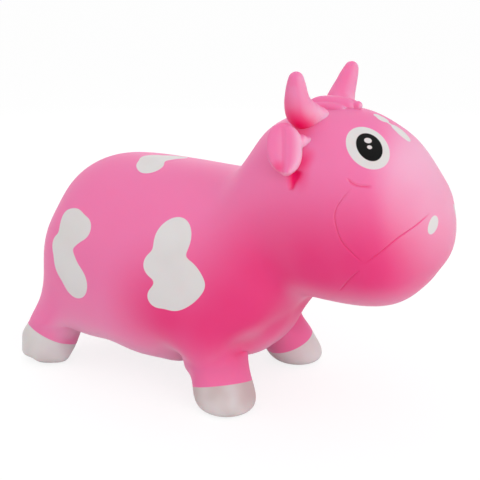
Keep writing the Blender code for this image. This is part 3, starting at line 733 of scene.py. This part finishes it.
class Finish(Nodes):
    """A material under construction."""

    def __init__(self, name):
        self.material = bpy.data.materials.new(name)
        self.material.use_nodes = True
        super().__init__(self.material.node_tree)
        self.shader = self.tree.nodes["Principled BSDF"]

    def shade(self, **inputs):
        """Sets the shader's sockets; a word's underscores stand for spaces."""
        for key, value in inputs.items():
            self.put(self.shader.inputs[key.replace("_", " ")], value)


# %% [markdown]
# The paint on a blown toy goes on through stencils, so each patch has a crisp outline with
# soft corners. It could be an image, but a distance field stays crisp at any size: circles
# seen from the side, joined with a smooth minimum.

# %% Stencils
PATCH_SOFTNESS = 20 * MM
# Half the width of the painted edge
PAINT_EDGE = 0.35 * MM
# What is left of a place when it is seen from the side or from above
SEEN_FROM_SIDE = (1, 0, 1)
SEEN_FROM_ABOVE = (1, 1, 0)


def stencil(finish, flat, circles, to_place, softness=PATCH_SOFTNESS):
    """Signed distance to a patch of circles joined softly, in metres."""
    total = None
    for circle in circles:
        centre, radius = to_place(circle), circle[-1] * MM
        away = finish.vector("DISTANCE", flat, centre, "Value") - radius
        total = away if total is None else total.math("SMOOTH_MIN", away, softness)
    return total


def side_place(circle):
    """The middle of a circle that is seen from the side."""
    return Vector((circle[0], 0, circle[1])) * MM


def back_place(circle):
    """The middle of a circle that is seen from above."""
    return Vector((circle[0], circle[1], 0)) * MM


def ball_place(ball):
    """The middle of a ball: forward, aside and up."""
    return Vector(ball[:3]) * MM


def painted(distance):
    """1 where the stencil is open, 0 elsewhere, with a crisp edge."""
    return 1 - distance.ramp(-PAINT_EDGE, PAINT_EDGE)


print("stencils: edges of", 2 * PAINT_EDGE / MM, "mm")

# %% [markdown]
# Eyes and nostrils are ovals. Seen from the side they would smear along the curved head, so
# each lies in a plane of its own that touches the skin. One stencil on the right serves
# both sides, because the places on the left are mirrored onto it.

# %% Ovals
def on_right_side(finish, place):
    """The place, or its mirror image on the right side."""
    along, aside, up = finish.split(place)
    return finish.add("ShaderNodeCombineXYZ", {}, [along, -aside.math("ABSOLUTE"), up])


def oval_axes(out, turn):
    """The oval's long and short directions in the plane that it lies in."""
    out = Vector(out).normalized()
    up = (Vector((0, 0, 1)) - out * out.z).normalized()
    side = up.cross(out)
    c, s = math.cos(math.radians(turn)), math.sin(math.radians(turn))
    return side * c + up * s, up * c - side * s


def oval(finish, place, middle, out, long_half, short_half, turn):
    """Signed distance to an oval, in metres, negative inside."""
    offset = finish.vector("SUBTRACT", place, Vector(middle) * MM)
    long_way, short_way = oval_axes(out, turn)
    u = finish.vector("DOT_PRODUCT", offset, long_way / (long_half * MM), "Value")
    v = finish.vector("DOT_PRODUCT", offset, short_way / (short_half * MM), "Value")
    return ((u * u + v * v).math("SQRT") - 1) * (short_half * MM)


# %% [markdown]
# The pink carries painted light and shade. A band from the chest up to the cheek gets painted
# shade, the brow and the underside get painted light, and creases and the roots of horns and
# ears get a vivid painted shade, as where light inside soft vinyl gathers. An image could hold
# these tones, but a few places with a reach and a strength are easier to change.

# %% Painted light and shade on the vinyl
PINK = (0.925, 0.215, 0.45, 1)
# Painted shade, for the band from the chest to the cheek
PAINTED_SHADE_PINK = (0.87, 0.058, 0.235, 1)
# Vivid painted shade, for creases and hollows
VIVID_SHADE_PINK = (0.93, 0.008, 0.16, 1)
# Painted light, for the front above the chest and the underside
PAINTED_LIGHT_PINK = (0.93, 0.56, 0.73, 1)
# Circles seen from the side that the painted shade spreads from: forward, up, radius; and how far
DEEP_BAND = ((-10, 118, 0), (45, 105, 10), (75, 135, 10), (105, 175, 10), (160, 195, 10), (215, 205, 8))
DEEP_BAND_SOFTNESS = 40 * MM
DEEP_BAND_REACH = 108 * MM
# The share of the painted shade that is left near the floor, and the heights of that change
DEEP_LEAST = 0.35
DEEP_HEIGHTS = (30 * MM, 110 * MM)
# The share of painted shade lost where the skin faces down, and how much it has to face down
DEEP_LOSS = 0.5
DEEP_LOSS_FACING = (0.4, 1)
CLOUD_SCALE = 9
CLOUD_DETAIL = 3
CLOUD_STRENGTH = 0.12
NOISE_MIDDLE = 0.5
# Painted light where the skin faces forward above the chest, and less of it on the poll
PALE_STRENGTH = 0.85
PALE_FACING = (0.35, 0.95)
PALE_HEIGHTS = (140 * MM, 230 * MM)
POLL_LOSS = 0.5
POLL_HEIGHTS = (355 * MM, 370 * MM)
# Painted light where the skin faces down
UNDERSIDE_STRENGTH = 0.5
UNDERSIDE_FACING = (-0.1, 0.7)
print("tones: the deep band has", len(DEEP_BAND), "circles")

# %% Shares of the painted light and shade
def painted_shade_share(finish, place, facing):
    """How much painted shade there is: a soft, slightly cloudy band from the chest to the cheek."""
    up, upward = finish.split(place)[2], finish.split(facing)[2]
    side_on = finish.vector("MULTIPLY", place, SEEN_FROM_SIDE)
    band = stencil(finish, side_on, DEEP_BAND, side_place, DEEP_BAND_SOFTNESS)
    deep = (1 - band.ramp(0, DEEP_BAND_REACH)) * (1 - DEEP_LOSS * (-upward).ramp(*DEEP_LOSS_FACING))
    deep = deep * (DEEP_LEAST + (1 - DEEP_LEAST) * up.ramp(*DEEP_HEIGHTS))
    cloudy = finish.noise(place, CLOUD_SCALE, CLOUD_DETAIL)
    return (deep + (cloudy - NOISE_MIDDLE) * CLOUD_STRENGTH).clamped()


def painted_light_share(finish, place, facing):
    """How much painted light there is: in front above the chest, and underneath."""
    up = finish.split(place)[2]
    forward, _, upward = finish.split(facing)
    pale = forward.ramp(*PALE_FACING) * up.ramp(*PALE_HEIGHTS)
    pale = pale * (PALE_STRENGTH - POLL_LOSS * up.ramp(*POLL_HEIGHTS))
    return pale.most((-upward).ramp(*UNDERSIDE_FACING) * UNDERSIDE_STRENGTH)


def vivid_shade_share(finish, place, hollows):
    """How much vivid painted shade there is: in the pressed creases and in these hollows."""
    mirrored = on_right_side(finish, place)
    vivid = finish.attribute("pressed", "Fac")
    for centre, reach, strength in hollows:
        away = finish.vector("DISTANCE", mirrored, Vector(centre) * MM, "Value")
        vivid = vivid + (1 - away.ramp(0, reach * MM)) * strength
    return vivid.clamped()


# %% [markdown]
# Soft vinyl is satin, not glossy. A plain shiny plastic would look hard, so light spreads a
# little under its surface, which keeps the shaded side warm and saturated. Fine grain from
# the mould breaks up the highlights, and the paint is a touch more matt than bare vinyl.

# %% Vinyl finish
WHITE_PAINT = (0.78, 0.755, 0.75, 1)
# Scuffed white: partly wear, and on the hooves also painted shade
WORN_AND_SHADED_PAINT = (0.60, 0.49, 0.48, 1)
BLACK_PAINT = (0.003, 0.003, 0.003, 1)
VINYL_ROUGHNESS = 0.42
PAINT_ROUGHNESS = 0.50
PAINT_WEAR = 0.15
SCUFF_SCALE = 17
SCUFF_RANGE = (0.35, 0.7)
GRAIN_SCALE = 420
GRAIN_IN_GLOSS = 0.10
GRAIN_STRENGTH = 0.06
GRAIN_HEIGHT = 0.3 * MM
# Light inside the vinyl: its share, how far each colour spreads, and the depth that gives
SPREAD_SHARE = 0.3
SPREAD_COLOURS = (1.0, 0.2, 0.3)
SPREAD_DEPTH = 10 * MM
VINYL_SHINE = 0.1


def vinyl_finish(name, hollows=(), white_mask=None, black_mask=None, wear_and_shade=PAINT_WEAR):
    """Pink vinyl with painted light and shade, vivid painted shade in its hollows, and white and black paint where
    the masks say.
    """
    finish = Finish(name)
    place = finish.attribute("rest")
    facing = finish.attribute("rest_normal")
    grain = finish.noise(place, GRAIN_SCALE)
    # Painted light, then painted shade, then vivid painted shade in creases and hollows
    colour = finish.mix(painted_light_share(finish, place, facing), PINK, PAINTED_LIGHT_PINK)
    colour = finish.mix(painted_shade_share(finish, place, facing), colour, PAINTED_SHADE_PINK)
    colour = finish.mix(vivid_shade_share(finish, place, hollows), colour, VIVID_SHADE_PINK)
    rough = VINYL_ROUGHNESS + (grain - NOISE_MIDDLE) * GRAIN_IN_GLOSS
    if white_mask:
        white = white_mask(finish, place)
        # Scuffs of the white paint, which stand for wear and, on the hooves, painted shade
        scuffed_and_shaded = finish.noise(place, SCUFF_SCALE).ramp(*SCUFF_RANGE) * wear_and_shade
        colour = finish.mix(white, colour, finish.mix(scuffed_and_shaded, WHITE_PAINT, WORN_AND_SHADED_PAINT))
        rough = rough + white * (PAINT_ROUGHNESS - VINYL_ROUGHNESS)
    if black_mask:
        colour = finish.mix(black_mask(finish, place), colour, BLACK_PAINT)
    relief = {"Strength": GRAIN_STRENGTH, "Distance": GRAIN_HEIGHT, "Height": grain}
    finish.shade(
        Base_Color=colour, Roughness=rough, Normal=finish.add("ShaderNodeBump", {}, relief),
        Subsurface_Weight=SPREAD_SHARE, Subsurface_Radius=SPREAD_COLOURS, Subsurface_Scale=SPREAD_DEPTH,
        Specular_IOR_Level=VINYL_SHINE,
    )
    print(name, len(finish.tree.nodes), "nodes")
    return finish.material


# %% [markdown]
# The cow wears white patches on both sides, over its back and down its forehead, and its
# eyes and nostrils are painted too. The eyes could be pieces of their own, but on a blown
# toy they are only paint: a white oval, a black one in it, and two glints left open.

# %% Paint of the body
# Circles of each patch in millimetres: forward, up (or aside, for the back), radius
RIGHT_PATCHES = (
    ((-184, 174, 12), (-178, 208, 5), (-141, 202, 11), (-163, 199, 22), (-168, 155, 22), (-150, 136, 22)),
    ((-25, 139, 12), (25, 161, 5), (3, 161, 28), (-13, 207, 23), (-5, 143, 16), (-30, 177, 14)),
)
LEFT_PATCHES = (
    ((-188, 150, 14), (-196, 178, 10), (-160, 146, 24), (-142, 176, 22), (-150, 207, 14)),
    ((-62, 205, 13), (-38, 214, 20), (-8, 196, 22), (-14, 160, 17), (-34, 142, 15)),
)
BACK_PATCH = ((-98, -38, 14), (-108, -28, 16), (-118, -10, 15), (-102, 0, 13), (-92, 14, 10))
BACK_PATCH_FOOT = 200 * MM
# Balls of the forehead's patch in millimetres: forward, aside, up, radius
FOREHEAD_PATCH = (
    (185.5, 1, 351, 5), (192, 0, 348.5, 7), (200.5, -1, 344, 1.5),
    (207.5, 0.5, 339.5, 6), (213.5, 1.5, 335, 8), (219, 2.5, 330.5, 6),
)
FOREHEAD_SOFTNESS = 6 * MM
# Each oval: its middle and the way it faces, half sizes in millimetres, and its turn in degrees
OVALS = {
    "eye": ((198.3, -49.5, 325.7), (0.40, -0.519, 0.756), 28.9, 22.1, 102.7),
    "pupil": ((200.2, -49.8, 327.0), (0.40, -0.519, 0.756), 19.1, 13.6, 96),
    "upper_glint": ((196.6, -45.6, 333.0), (0.40, -0.519, 0.756), 4.0, 3.9, 160),
    "lower_glint": ((201.2, -51.2, 326.8), (0.40, -0.519, 0.756), 2.6, 2.6, 160),
    "nostril": ((267.9, -32.7, 249.0), (0.876, -0.30, 0.377), 10.9, 6.6, 46.5),
}
print("paint:", len(RIGHT_PATCHES) + len(LEFT_PATCHES) + 2, "patches and", len(OVALS), "ovals")

# %% Masks of the body's paint
def body_white(finish, place):
    """Patches on both sides, the back and the forehead, eyes and nostrils."""
    _, aside, up = finish.split(place)
    side_on = finish.vector("MULTIPLY", place, SEEN_FROM_SIDE)
    from_above = finish.vector("MULTIPLY", place, SEEN_FROM_ABOVE)
    distances = []
    for patches, side in ((RIGHT_PATCHES, aside), (LEFT_PATCHES, -aside)):
        for patch in patches:
            distances.append(stencil(finish, side_on, patch, side_place).most(side))
    back = stencil(finish, from_above, BACK_PATCH, back_place)
    distances.append(back.most(BACK_PATCH_FOOT - up))
    distances.append(stencil(finish, place, FOREHEAD_PATCH, ball_place, FOREHEAD_SOFTNESS))
    mirrored = on_right_side(finish, place)
    for name in ("eye", "nostril"):
        distances.append(oval(finish, mirrored, *OVALS[name]))
    total = painted(distances[0])
    for distance in distances[1:]:
        total = total.most(painted(distance))
    return total


def body_black(finish, place):
    """The pupils, with two glints left white."""
    mirrored = on_right_side(finish, place)
    pupil, upper, lower = [
        painted(oval(finish, mirrored, *OVALS[name])) for name in ("pupil", "upper_glint", "lower_glint")
    ]
    return pupil * (1 - upper.most(lower))


# %% [markdown]
# Torso and head are one skin on the real toy, so one mesh takes the place of both packed
# pieces. Where the horns and ears press into the head, the pink gets a vivid painted shade.

# %% Dress the body
# Hollows that get vivid painted shade, on the right side: place, reach and strength
BODY_SHADED_HOLLOWS = (
    ((118, -60, 346), 26, 0.6), ((131, -89, 293), 14, 0.4), ((140, -77, 313), 16, 0.6),
    ((137, -84, 301), 18, 0.55), ((142, -87, 289), 15, 0.3),
)

body_skin = skins["body"]
body_skin.name = "body_skin"
body_skin.data.materials.append(vinyl_finish("pink_vinyl_body", BODY_SHADED_HOLLOWS, body_white, body_black))
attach(body_skin, "body")
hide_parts("torso_skin", "head_skin")

# %% [markdown]
# Each hoof is dipped in white paint up to a line that tilts with the leg. A parted white
# piece would show a step that the toy hasn't, so the line is a plane in the paint. The leg
# is held by the body at its top, follows the foot at its hoof, and bends between them.

# %% Legs and hooves
# Height of the white paint's edge at the hoof's middle, and how it rises forward and aside
HOOF_PAINT = {"front": (32.2 * MM, 0.29, 0.246), "rear": (42.9 * MM, -0.32, 0.44)}
# How scuffed each hoof's white is: partly wear, partly painted shade, heaviest on the front right hoof
HOOF_WEAR_AND_SHADE = {"front_right": 0.9, "front_left": 0.3, "rear_right": 0.4, "rear_left": 0.6}
BEND_TOP = 54 * MM
BEND_FOOT = 37 * MM


def hoof_white(name):
    """The mask of a hoof's white paint."""
    end = name.split("_")[0]
    foot = mounts[f"{name}_sole"]["pos_m"]
    height, forward, aside = HOOF_PAINT[end]
    outward = math.copysign(1, foot[1])

    def mask(finish, place):
        offset = finish.vector("SUBTRACT", place, Vector((foot[0], foot[1], height)))
        tilt = Vector((-forward, -aside * outward, 1))
        return painted(finish.vector("DOT_PRODUCT", offset, tilt, "Value"))

    return mask


for name in LEGS:
    leg = skins[name]
    leg.name = f"{name}_leg_skin"
    dipped = vinyl_finish(f"pink_vinyl_{name}", white_mask=hoof_white(name), wear_and_shade=HOOF_WEAR_AND_SHADE[name])
    leg.data.materials.append(dipped)
    foot = mounts[f"{name}_sole"]["pos_m"]
    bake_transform(leg, "body", f"{name}_foot", (foot[0], foot[1], BEND_TOP), (foot[0], foot[1], BEND_FOOT))
    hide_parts(f"{name}_leg", f"{name}_hoof")

# %% [markdown]
# Horns, ears, forelock and tail are thick moulded forms that run into each other, like
# rolled clay. They could be sculpted by hand, but overlapping rounded blobs, remeshed into
# one skin and then relaxed, give the same soft hollows where they meet.

# %% Soft forms
BLOB_ROUNDS = 4
FORM_VOXEL = 0.9 * MM
RELAX_FACTOR = 0.5
FORWARD, ASIDE, UPWARD = Vector((1, 0, 0)), Vector((0, 1, 0)), Vector((0, 0, 1))


def blob(centre, halves, axes=(FORWARD, ASIDE, UPWARD), squareness=2):
    """A rounded lump: its middle, half sizes, directions and how square it is."""
    return centre, halves, axes, squareness


def soft_form(name, blobs, relax):
    """One closed skin over overlapping blobs, relaxed this many times."""
    bm = bmesh.new()
    for centre, halves, axes, squareness in blobs:
        made = bmesh.ops.create_icosphere(bm, subdivisions=BLOB_ROUNDS, radius=1)
        for vert in made["verts"]:
            reach = sum(abs(value) ** squareness for value in vert.co) ** (-1 / squareness)
            unit = vert.co * reach
            steps = [axis * half * value for axis, half, value in zip(axes, halves, unit)]
            vert.co = centre + sum(steps, Vector())
    mesh = bpy.data.meshes.new(name)
    bm.to_mesh(mesh)
    bm.free()
    made = with_modifiers(
        name, mesh,
        ("REMESH", {"mode": "VOXEL", "voxel_size": FORM_VOXEL}),
        ("SMOOTH", {"factor": RELAX_FACTOR, "iterations": relax}),
    )
    made.shade_smooth()
    obj = new_object(name, made)
    for vert in obj.data.vertices:
        vert.co = fitted(vert.co)
    keep_rest(obj)
    print(name, len(obj.data.polygons), "faces")
    return obj


# %% [markdown]
# A horn grows sideways out of a fat root, turns up through an elbow and ends in a blunt tip.
# A lathe can't turn that bend, so it is a chain of round blobs along a smooth path. Its root
# stays with the head, and the horn above it bends with its joint.

# %% Horns
# Stations of the right horn from its pivot in millimetres: forward, aside, up, radius
HORN_STATIONS = (
    (16, -5, -5, 12.5), (11, -1, -4.5, 15), (6.5, 4, -2.5, 17), (2.5, 11, 3, 17), (2, 18, 12.5, 14.6),
    (3, 22.4, 20.5, 12.8), (4.2, 25.6, 28.4, 11.4), (5.4, 28.4, 35, 9.8), (6.2, 30, 39.8, 8.3),
)
HORN_STEP = 1.6 * MM
HORN_RELAX = 8
# Heights above its pivot where the horn starts to bend and where it has bent
HORN_BEND = (5 * MM, 30 * MM)
# Hollows at the horn's root that get vivid painted shade: place, reach and strength
HORN_SHADED_HOLLOWS = (((122, -56, 341), 31, 1.0), ((113, -66, 360), 24, 0.45))


def horn_blobs(pivot, side):
    """Round blobs along the horn's path, with radii in between those of the stations."""
    places = [Vector((x, -y * side, z)) * MM + pivot for x, y, z, _ in HORN_STATIONS]
    radii = [station[3] * MM for station in HORN_STATIONS]
    path = curve_through(places, HORN_STEP)
    reaches = np.cumsum([0] + [(b - a).length for a, b in zip(places, places[1:])])
    along = np.cumsum([0] + [(b - a).length for a, b in zip(path, path[1:])])
    sizes = np.interp(along * reaches[-1] / along[-1], reaches, radii)
    return [blob(place, (size, size, size)) for place, size in zip(path, sizes)]


for side_name, side in (("right", 1), ("left", -1)):
    pivot = Vector(joints[f"{side_name}_horn_bend"]["pos_m"])
    bend_foot, bend_top = [pivot + UPWARD * rise for rise in HORN_BEND]
    horn = soft_form(f"{side_name}_horn_form", horn_blobs(pivot, side), HORN_RELAX)
    horn.data.materials.append(vinyl_finish(f"pink_vinyl_{side_name}_horn", HORN_SHADED_HOLLOWS))
    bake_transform(horn, "body", f"{side_name}_horn", bend_foot, bend_top)
    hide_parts(f"{side_name}_horn")

# %% [markdown]
# An ear is a thick leaf that hangs from a small root: its front edge is folded over into an
# oblong pad, and the leaf behind it is thinner, so a groove runs down between them. A bent
# sheet would be too thin for that, so slices of blobs fill each half. The root stays with
# the head, and the leaf below it bends with its joint.

# %% Ears
EAR_TURN = math.radians(33)
EAR_ALONG = Vector((0.27, -0.42, -1)).normalized()
# The right ear from its pivot in millimetres: the fold's place across it, and how far out of
# the head its middle lies
EAR_FOLD = -21.5
EAR_OUT = 5
EAR_STEPS = 26
# Each half of the leaf: way it reaches, overlap at the fold, width, middle, half length,
# bluntness above and below, thickness and lift
EAR_HALVES = ((1, 0, 20.5, 16, 26, 2.6, 2.4, 7.4, 1.8), (-1, 9, 26, 14.5, 28, 3.0, 2.0, 6.2, -0.9))
EAR_BLUNTNESS = 2.3
# The share of its thickness that the leaf keeps at its ends
EAR_END_SHARE = 0.45
# How far a slice reaches over the fold, and half its length, in millimetres
EAR_LAP = 0.5
EAR_SLICE = 3.0
# Blobs of the root: place across, along and out, and half sizes
EAR_ROOT = (((-1, 5.5, 3.5), (6.5, 7.5, 7)), ((5, 5, 1.6), (6, 5.5, 5)), ((9.5, 4.4, -0.8), (4.8, 3.2, 3)))
EAR_ROOT_BLUNTNESS = 2
EAR_RELAX = 9
# How far along the ear from its pivot it starts to bend and has bent, in millimetres
EAR_BEND = (-8, 26)
# Hollows of the ear that get vivid painted shade: place, reach and strength
EAR_SHADED_HOLLOWS = (((118, -95, 304), 11, 0.6), ((131, -62, 328), 8, 0.2))
print("ear:", len(EAR_HALVES) * (EAR_STEPS - 1), "slices and", len(EAR_ROOT), "blobs at its root")

# %% Blobs of an ear
def ear_axes(side):
    """Directions of an ear: forward across it, down along it, and out of its face."""
    across = Vector((math.cos(EAR_TURN), math.sin(EAR_TURN), 0))
    across = (across - EAR_ALONG * across.dot(EAR_ALONG)).normalized()
    out = EAR_ALONG.cross(across)
    return [Vector((way.x, way.y * side, way.z)) for way in (across, EAR_ALONG, out)]


def placed_blob(pivot, axes, place, halves, squareness):
    """A blob at a place given in millimetres along the ear's own directions."""
    steps = [axis * value * MM for axis, value in zip(axes, place)]
    return blob(pivot + sum(steps, Vector()), [half * MM for half in halves], axes, squareness)


def ear_blobs(pivot, side):
    """Two half leaves on either side of the fold, and the root."""
    axes = ear_axes(side)
    blobs = []
    for way, overlap, width, middle, half_length, above, below, thickness, lift in EAR_HALVES:
        for index in range(1, EAR_STEPS):
            share = 2 * index / EAR_STEPS - 1
            bluntness = above if share < 0 else below
            reach = width * (1 - abs(share) ** bluntness) ** (1 / bluntness)
            across = EAR_FOLD + way * (reach / 2 - overlap)
            place = (across, middle + share * half_length, EAR_OUT + lift)
            thick = thickness * (EAR_END_SHARE + (1 - EAR_END_SHARE) * reach / width)
            halves = (reach / 2 + EAR_LAP, EAR_SLICE, thick)
            blobs.append(placed_blob(pivot, axes, place, halves, EAR_BLUNTNESS))
    for place, halves in EAR_ROOT:
        blobs.append(placed_blob(pivot, axes, place, halves, EAR_ROOT_BLUNTNESS))
    return blobs


for side_name, side in (("right", 1), ("left", -1)):
    pivot = Vector(joints[f"{side_name}_ear_flap"]["pos_m"])
    bend_top, bend_foot = [pivot + ear_axes(side)[1] * along * MM for along in EAR_BEND]
    ear = soft_form(f"{side_name}_ear_form", ear_blobs(pivot, side), EAR_RELAX)
    ear.data.materials.append(vinyl_finish(f"pink_vinyl_{side_name}_ear", EAR_SHADED_HOLLOWS))
    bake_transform(ear, "body", f"{side_name}_ear", bend_top, bend_foot)
    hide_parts(f"{side_name}_ear")

# %% [markdown]
# The forelock is a lock of hair moulded on the poll: rounded strands side by side that run
# forward between the horns. Real hair would be curves, but this is vinyl, so each strand is
# a row of blobs. A ray finds the skin under each blob, so the strands follow it.

# %% Forelock
# Each strand in millimetres: place aside, start, end, radius, and how high its middle lies over
# the skin at its start and at its end
FORELOCK_STRANDS = (
    (-11, 108, 148, 7.5, 0, -2.5), (0, 107, 153, 10, 3, 0),
    (12, 109, 155, 9, 3, -1), (2, 159, 162.5, 5.2, 3, 2.5),
)
# The share of its radius that a strand loses at its ends, and how late it tapers
FORELOCK_TAPER = 0.35
FORELOCK_TAPER_POWER = 4
FORELOCK_RELAX = 8
LAY_STEP = 2 * MM
# Rays start this far out, well outside the toy
RAY_START = 1


def forelock_blobs():
    """Rows of round blobs laid on the skin from above."""
    blobs = []
    for aside, start, end, radius, first_rise, last_rise in FORELOCK_STRANDS:
        count = round((end - start) * MM / LAY_STEP)
        for index in range(count + 1):
            share = index / count
            x = (start + (end - start) * share) * MM
            place, normal = on_skin((x, aside * MM, RAY_START), -UPWARD)
            size = radius * MM * (1 - FORELOCK_TAPER * (2 * share - 1) ** FORELOCK_TAPER_POWER)
            rise = (first_rise + (last_rise - first_rise) * share) * MM
            blobs.append(blob(place + normal * rise, (size, size, size)))
    return blobs


forelock = soft_form("forelock_form", forelock_blobs(), FORELOCK_RELAX)
forelock.data.materials.append(vinyl_finish("pink_vinyl_forelock"))
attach(forelock, "body")
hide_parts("forelock")

# %% [markdown]
# The tail lies flat down the middle of the rump and ends in a tuft. A hanging tail would
# tear off a blown toy, so it is moulded on, and made like the forelock: a row of flat blobs
# laid on the skin from behind, wider where the tuft is.

# %% Tail
TAIL_TOP = 234 * MM
TAIL_FOOT = 150 * MM
TAIL_RADIUS = 6.0 * MM
TAIL_RISE = 4.6 * MM
TAIL_RELAX = 5
TUFT_RADIUS = 11 * MM
# Where along the tail the tuft is widest, and how far it spreads, as shares of its length
TUFT_PLACE = 0.82
TUFT_SPREAD = 0.17


def tail_blobs():
    """A row of flat blobs down the rump."""
    blobs = []
    count = round((TAIL_TOP - TAIL_FOOT) / LAY_STEP)
    for index in range(count + 1):
        share = index / count
        height = TAIL_TOP + (TAIL_FOOT - TAIL_TOP) * share
        place, normal = on_skin((-RAY_START, 0, height), FORWARD)
        tuft = math.exp(-(((share - TUFT_PLACE) / TUFT_SPREAD) ** 2))
        wide = TAIL_RADIUS + (TUFT_RADIUS - TAIL_RADIUS) * tuft
        axes = (normal, ASIDE, ASIDE.cross(normal).normalized())
        blobs.append(blob(place, (TAIL_RISE, wide, TAIL_RADIUS), axes))
    return blobs


tail = soft_form("tail_form", tail_blobs(), TAIL_RELAX)
tail.data.materials.append(vinyl_finish("pink_vinyl_tail"))
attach(tail, "body")
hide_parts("tail")

# %% [markdown]
# The valve and its plug are plain turned parts of firmer, paler vinyl. They could be made
# again as smooth meshes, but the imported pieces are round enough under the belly, so they
# stay and only get a finish.

# %% Valve
VALVE_VINYL = (0.74, 0.72, 0.70, 1)
VALVE_SHADE = (0.66, 0.64, 0.62, 1)
VALVE_CLOUD_SCALE = 160
VALVE_CLOUD_RANGE = (0.3, 0.7)
VALVE_ROUGHNESS = 0.42
VALVE_MOTTLING = 0.12
VALVE_GRAIN_STRENGTH = 0.1
VALVE_GRAIN_HEIGHT = 0.2 * MM
VALVE_SHINE = 0.45


def valve_finish(name):
    """Pale, slightly cloudy vinyl."""
    finish = Finish(name)
    place = finish.add("ShaderNodeTexCoord", output="Object")
    cloudy = finish.noise(place, VALVE_CLOUD_SCALE, CLOUD_DETAIL)
    colour = finish.mix(cloudy.ramp(*VALVE_CLOUD_RANGE), VALVE_VINYL, VALVE_SHADE)
    relief = {"Strength": VALVE_GRAIN_STRENGTH, "Distance": VALVE_GRAIN_HEIGHT, "Height": cloudy}
    finish.shade(
        Base_Color=colour, Roughness=VALVE_ROUGHNESS + cloudy * VALVE_MOTTLING,
        Normal=finish.add("ShaderNodeBump", {}, relief), Specular_IOR_Level=VALVE_SHINE,
    )
    print(name, len(finish.tree.nodes), "nodes")
    return finish.material


for name in ("valve_insert", "valve_plug"):
    node = frame["nodes"][name]
    material = valve_finish(f"{name}_vinyl")
    for slot in node.material_slots:
        slot.material = material

# %% [markdown]
# The toy stands on a plain pale floor. More light would make the floor white, but it would
# bleach the toy as well, so the floor glows a little for the eye alone. A plain surface
# beside that glow keeps the toy's soft shadow.

# %% Floor
FLOOR_SIZE = 200
# The floor lies this far below the soles, so that no faces share a plane
FLOOR_DROP = 0.4 * MM
FLOOR_PAINT = (0.78, 0.77, 0.77, 1)
FLOOR_ROUGHNESS = 0.9
FLOOR_GLOW = 0.80
FLOOR_SHADE = (0.26, 0.26, 0.26, 1)
WHITE = (1, 1, 1, 1)


def floor_finish():
    """Pale floor that the camera sees as nearly white, with the soft shadow kept."""
    finish = Finish("pale_floor")
    finish.shade(Base_Color=FLOOR_PAINT, Roughness=FLOOR_ROUGHNESS)
    plain = Signal(finish, finish.shader.outputs[0])
    glow = finish.add("ShaderNodeEmission", {}, {"Color": WHITE, "Strength": FLOOR_GLOW})
    shaded = finish.add("ShaderNodeBsdfDiffuse", {}, {"Color": FLOOR_SHADE})
    bright = finish.add("ShaderNodeAddShader", {}, [glow, shaded])
    mixed = finish.add("ShaderNodeMixShader", {}, [finish.seen(), plain, bright])
    finish.put(finish.tree.nodes["Material Output"].inputs["Surface"], mixed)
    return finish.material


half = FLOOR_SIZE / 2
floor_mesh = bpy.data.meshes.new("floor")
floor_mesh.from_pydata(
    [(-half, -half, 0), (half, -half, 0), (half, half, 0), (-half, half, 0)], [], [(0, 1, 2, 3)]
)
floor = new_object("floor", floor_mesh)
floor.location.z = -FLOOR_DROP
floor.data.materials.append(floor_finish())
print("floor:", FLOOR_SIZE, "m wide")

# %% [markdown]
# One large soft lamp before the snout shapes the rounds, as a window would. It could light
# the toy alone, but the other sides would go dark, so three weaker lamps stand above it, at
# the viewer's left and on the far side.

# %% Lamps
# Each lamp: its place, what it is aimed at and its width in metres, and its power in watts
LAMPS = {
    "key_lamp": ((1.6, -0.8, 0.85), (0.05, 0, 0.18), 1.2, 8.5),
    "top_lamp": ((-0.4, 0.2, 2.0), (0, 0, 0.2), 1.6, 3),
    "left_lamp": ((-1.5, -1.3, 0.8), (0, 0, 0.15), 1.2, 3),
    "back_lamp": ((-1.0, 1.7, 0.9), (0, 0, 0.15), 1.2, 3),
}

for name, (place, target, width, power) in LAMPS.items():
    light = bpy.data.lights.new(name, "AREA")
    light.shape = "DISK"
    light.size = width
    light.energy = power
    lamp = new_object(name, light)
    lamp.location = place
    lamp.rotation_euler = (Vector(target) - Vector(place)).to_track_quat("-Z", "Y").to_euler()
print("lamps:", len(LAMPS), "of", sum(power for *_, power in LAMPS.values()), "watts together")

# %% [markdown]
# An even pale world fills the rest of the light. It could be one strength for all, but the
# strength that lights the toy well looks grey behind it, so the eye sees a stronger one.

# %% World
WORLD_LIGHT = 0.72
WORLD_SEEN = 1.0

world = bpy.data.worlds.new("studio")
bpy.context.scene.world = world
world.use_nodes = True
sky = Nodes(world.node_tree)
ambient = world.node_tree.nodes["Background"]
sky.put(ambient.inputs["Color"], WHITE)
sky.put(ambient.inputs["Strength"], WORLD_LIGHT)
backdrop = sky.add("ShaderNodeBackground", {}, {"Color": WHITE, "Strength": WORLD_SEEN})
mixed = sky.add("ShaderNodeMixShader", {}, [sky.seen(), Signal(sky, ambient.outputs[0]), backdrop])
sky.put(world.node_tree.nodes["World Output"].inputs["Surface"], mixed)
print("world:", WORLD_LIGHT, "as light and", WORLD_SEEN, "to the eye")

# %% [markdown]
# The camera stands where the photograph's did. Its place could be guessed by eye, but then a
# wrong lens passes for a wrong shape, so its angles, distance and lens were found by fitting
# the model's outline to the photograph's.

# %% Camera
AZIMUTH = math.radians(32.7)
ELEVATION = math.radians(16.8)
DISTANCE = 1.12
TARGET = Vector((8.5, 0, 182)) * MM
LENS = 67.7
SENSOR_WIDTH = 36
level = math.cos(ELEVATION)
back = Vector((math.sin(AZIMUTH) * level, -math.cos(AZIMUTH) * level, math.sin(ELEVATION)))
camera_data = bpy.data.cameras.new("camera")
camera_data.lens = LENS
camera_data.sensor_width = SENSOR_WIDTH
camera = new_object("camera", camera_data)
camera.location = TARGET + back * DISTANCE
camera.rotation_euler = back.to_track_quat("Z", "Y").to_euler()
bpy.context.scene.camera = camera
bpy.context.scene.view_settings.view_transform = "Standard"
print("camera at", [round(value, 3) for value in camera.location], "m")
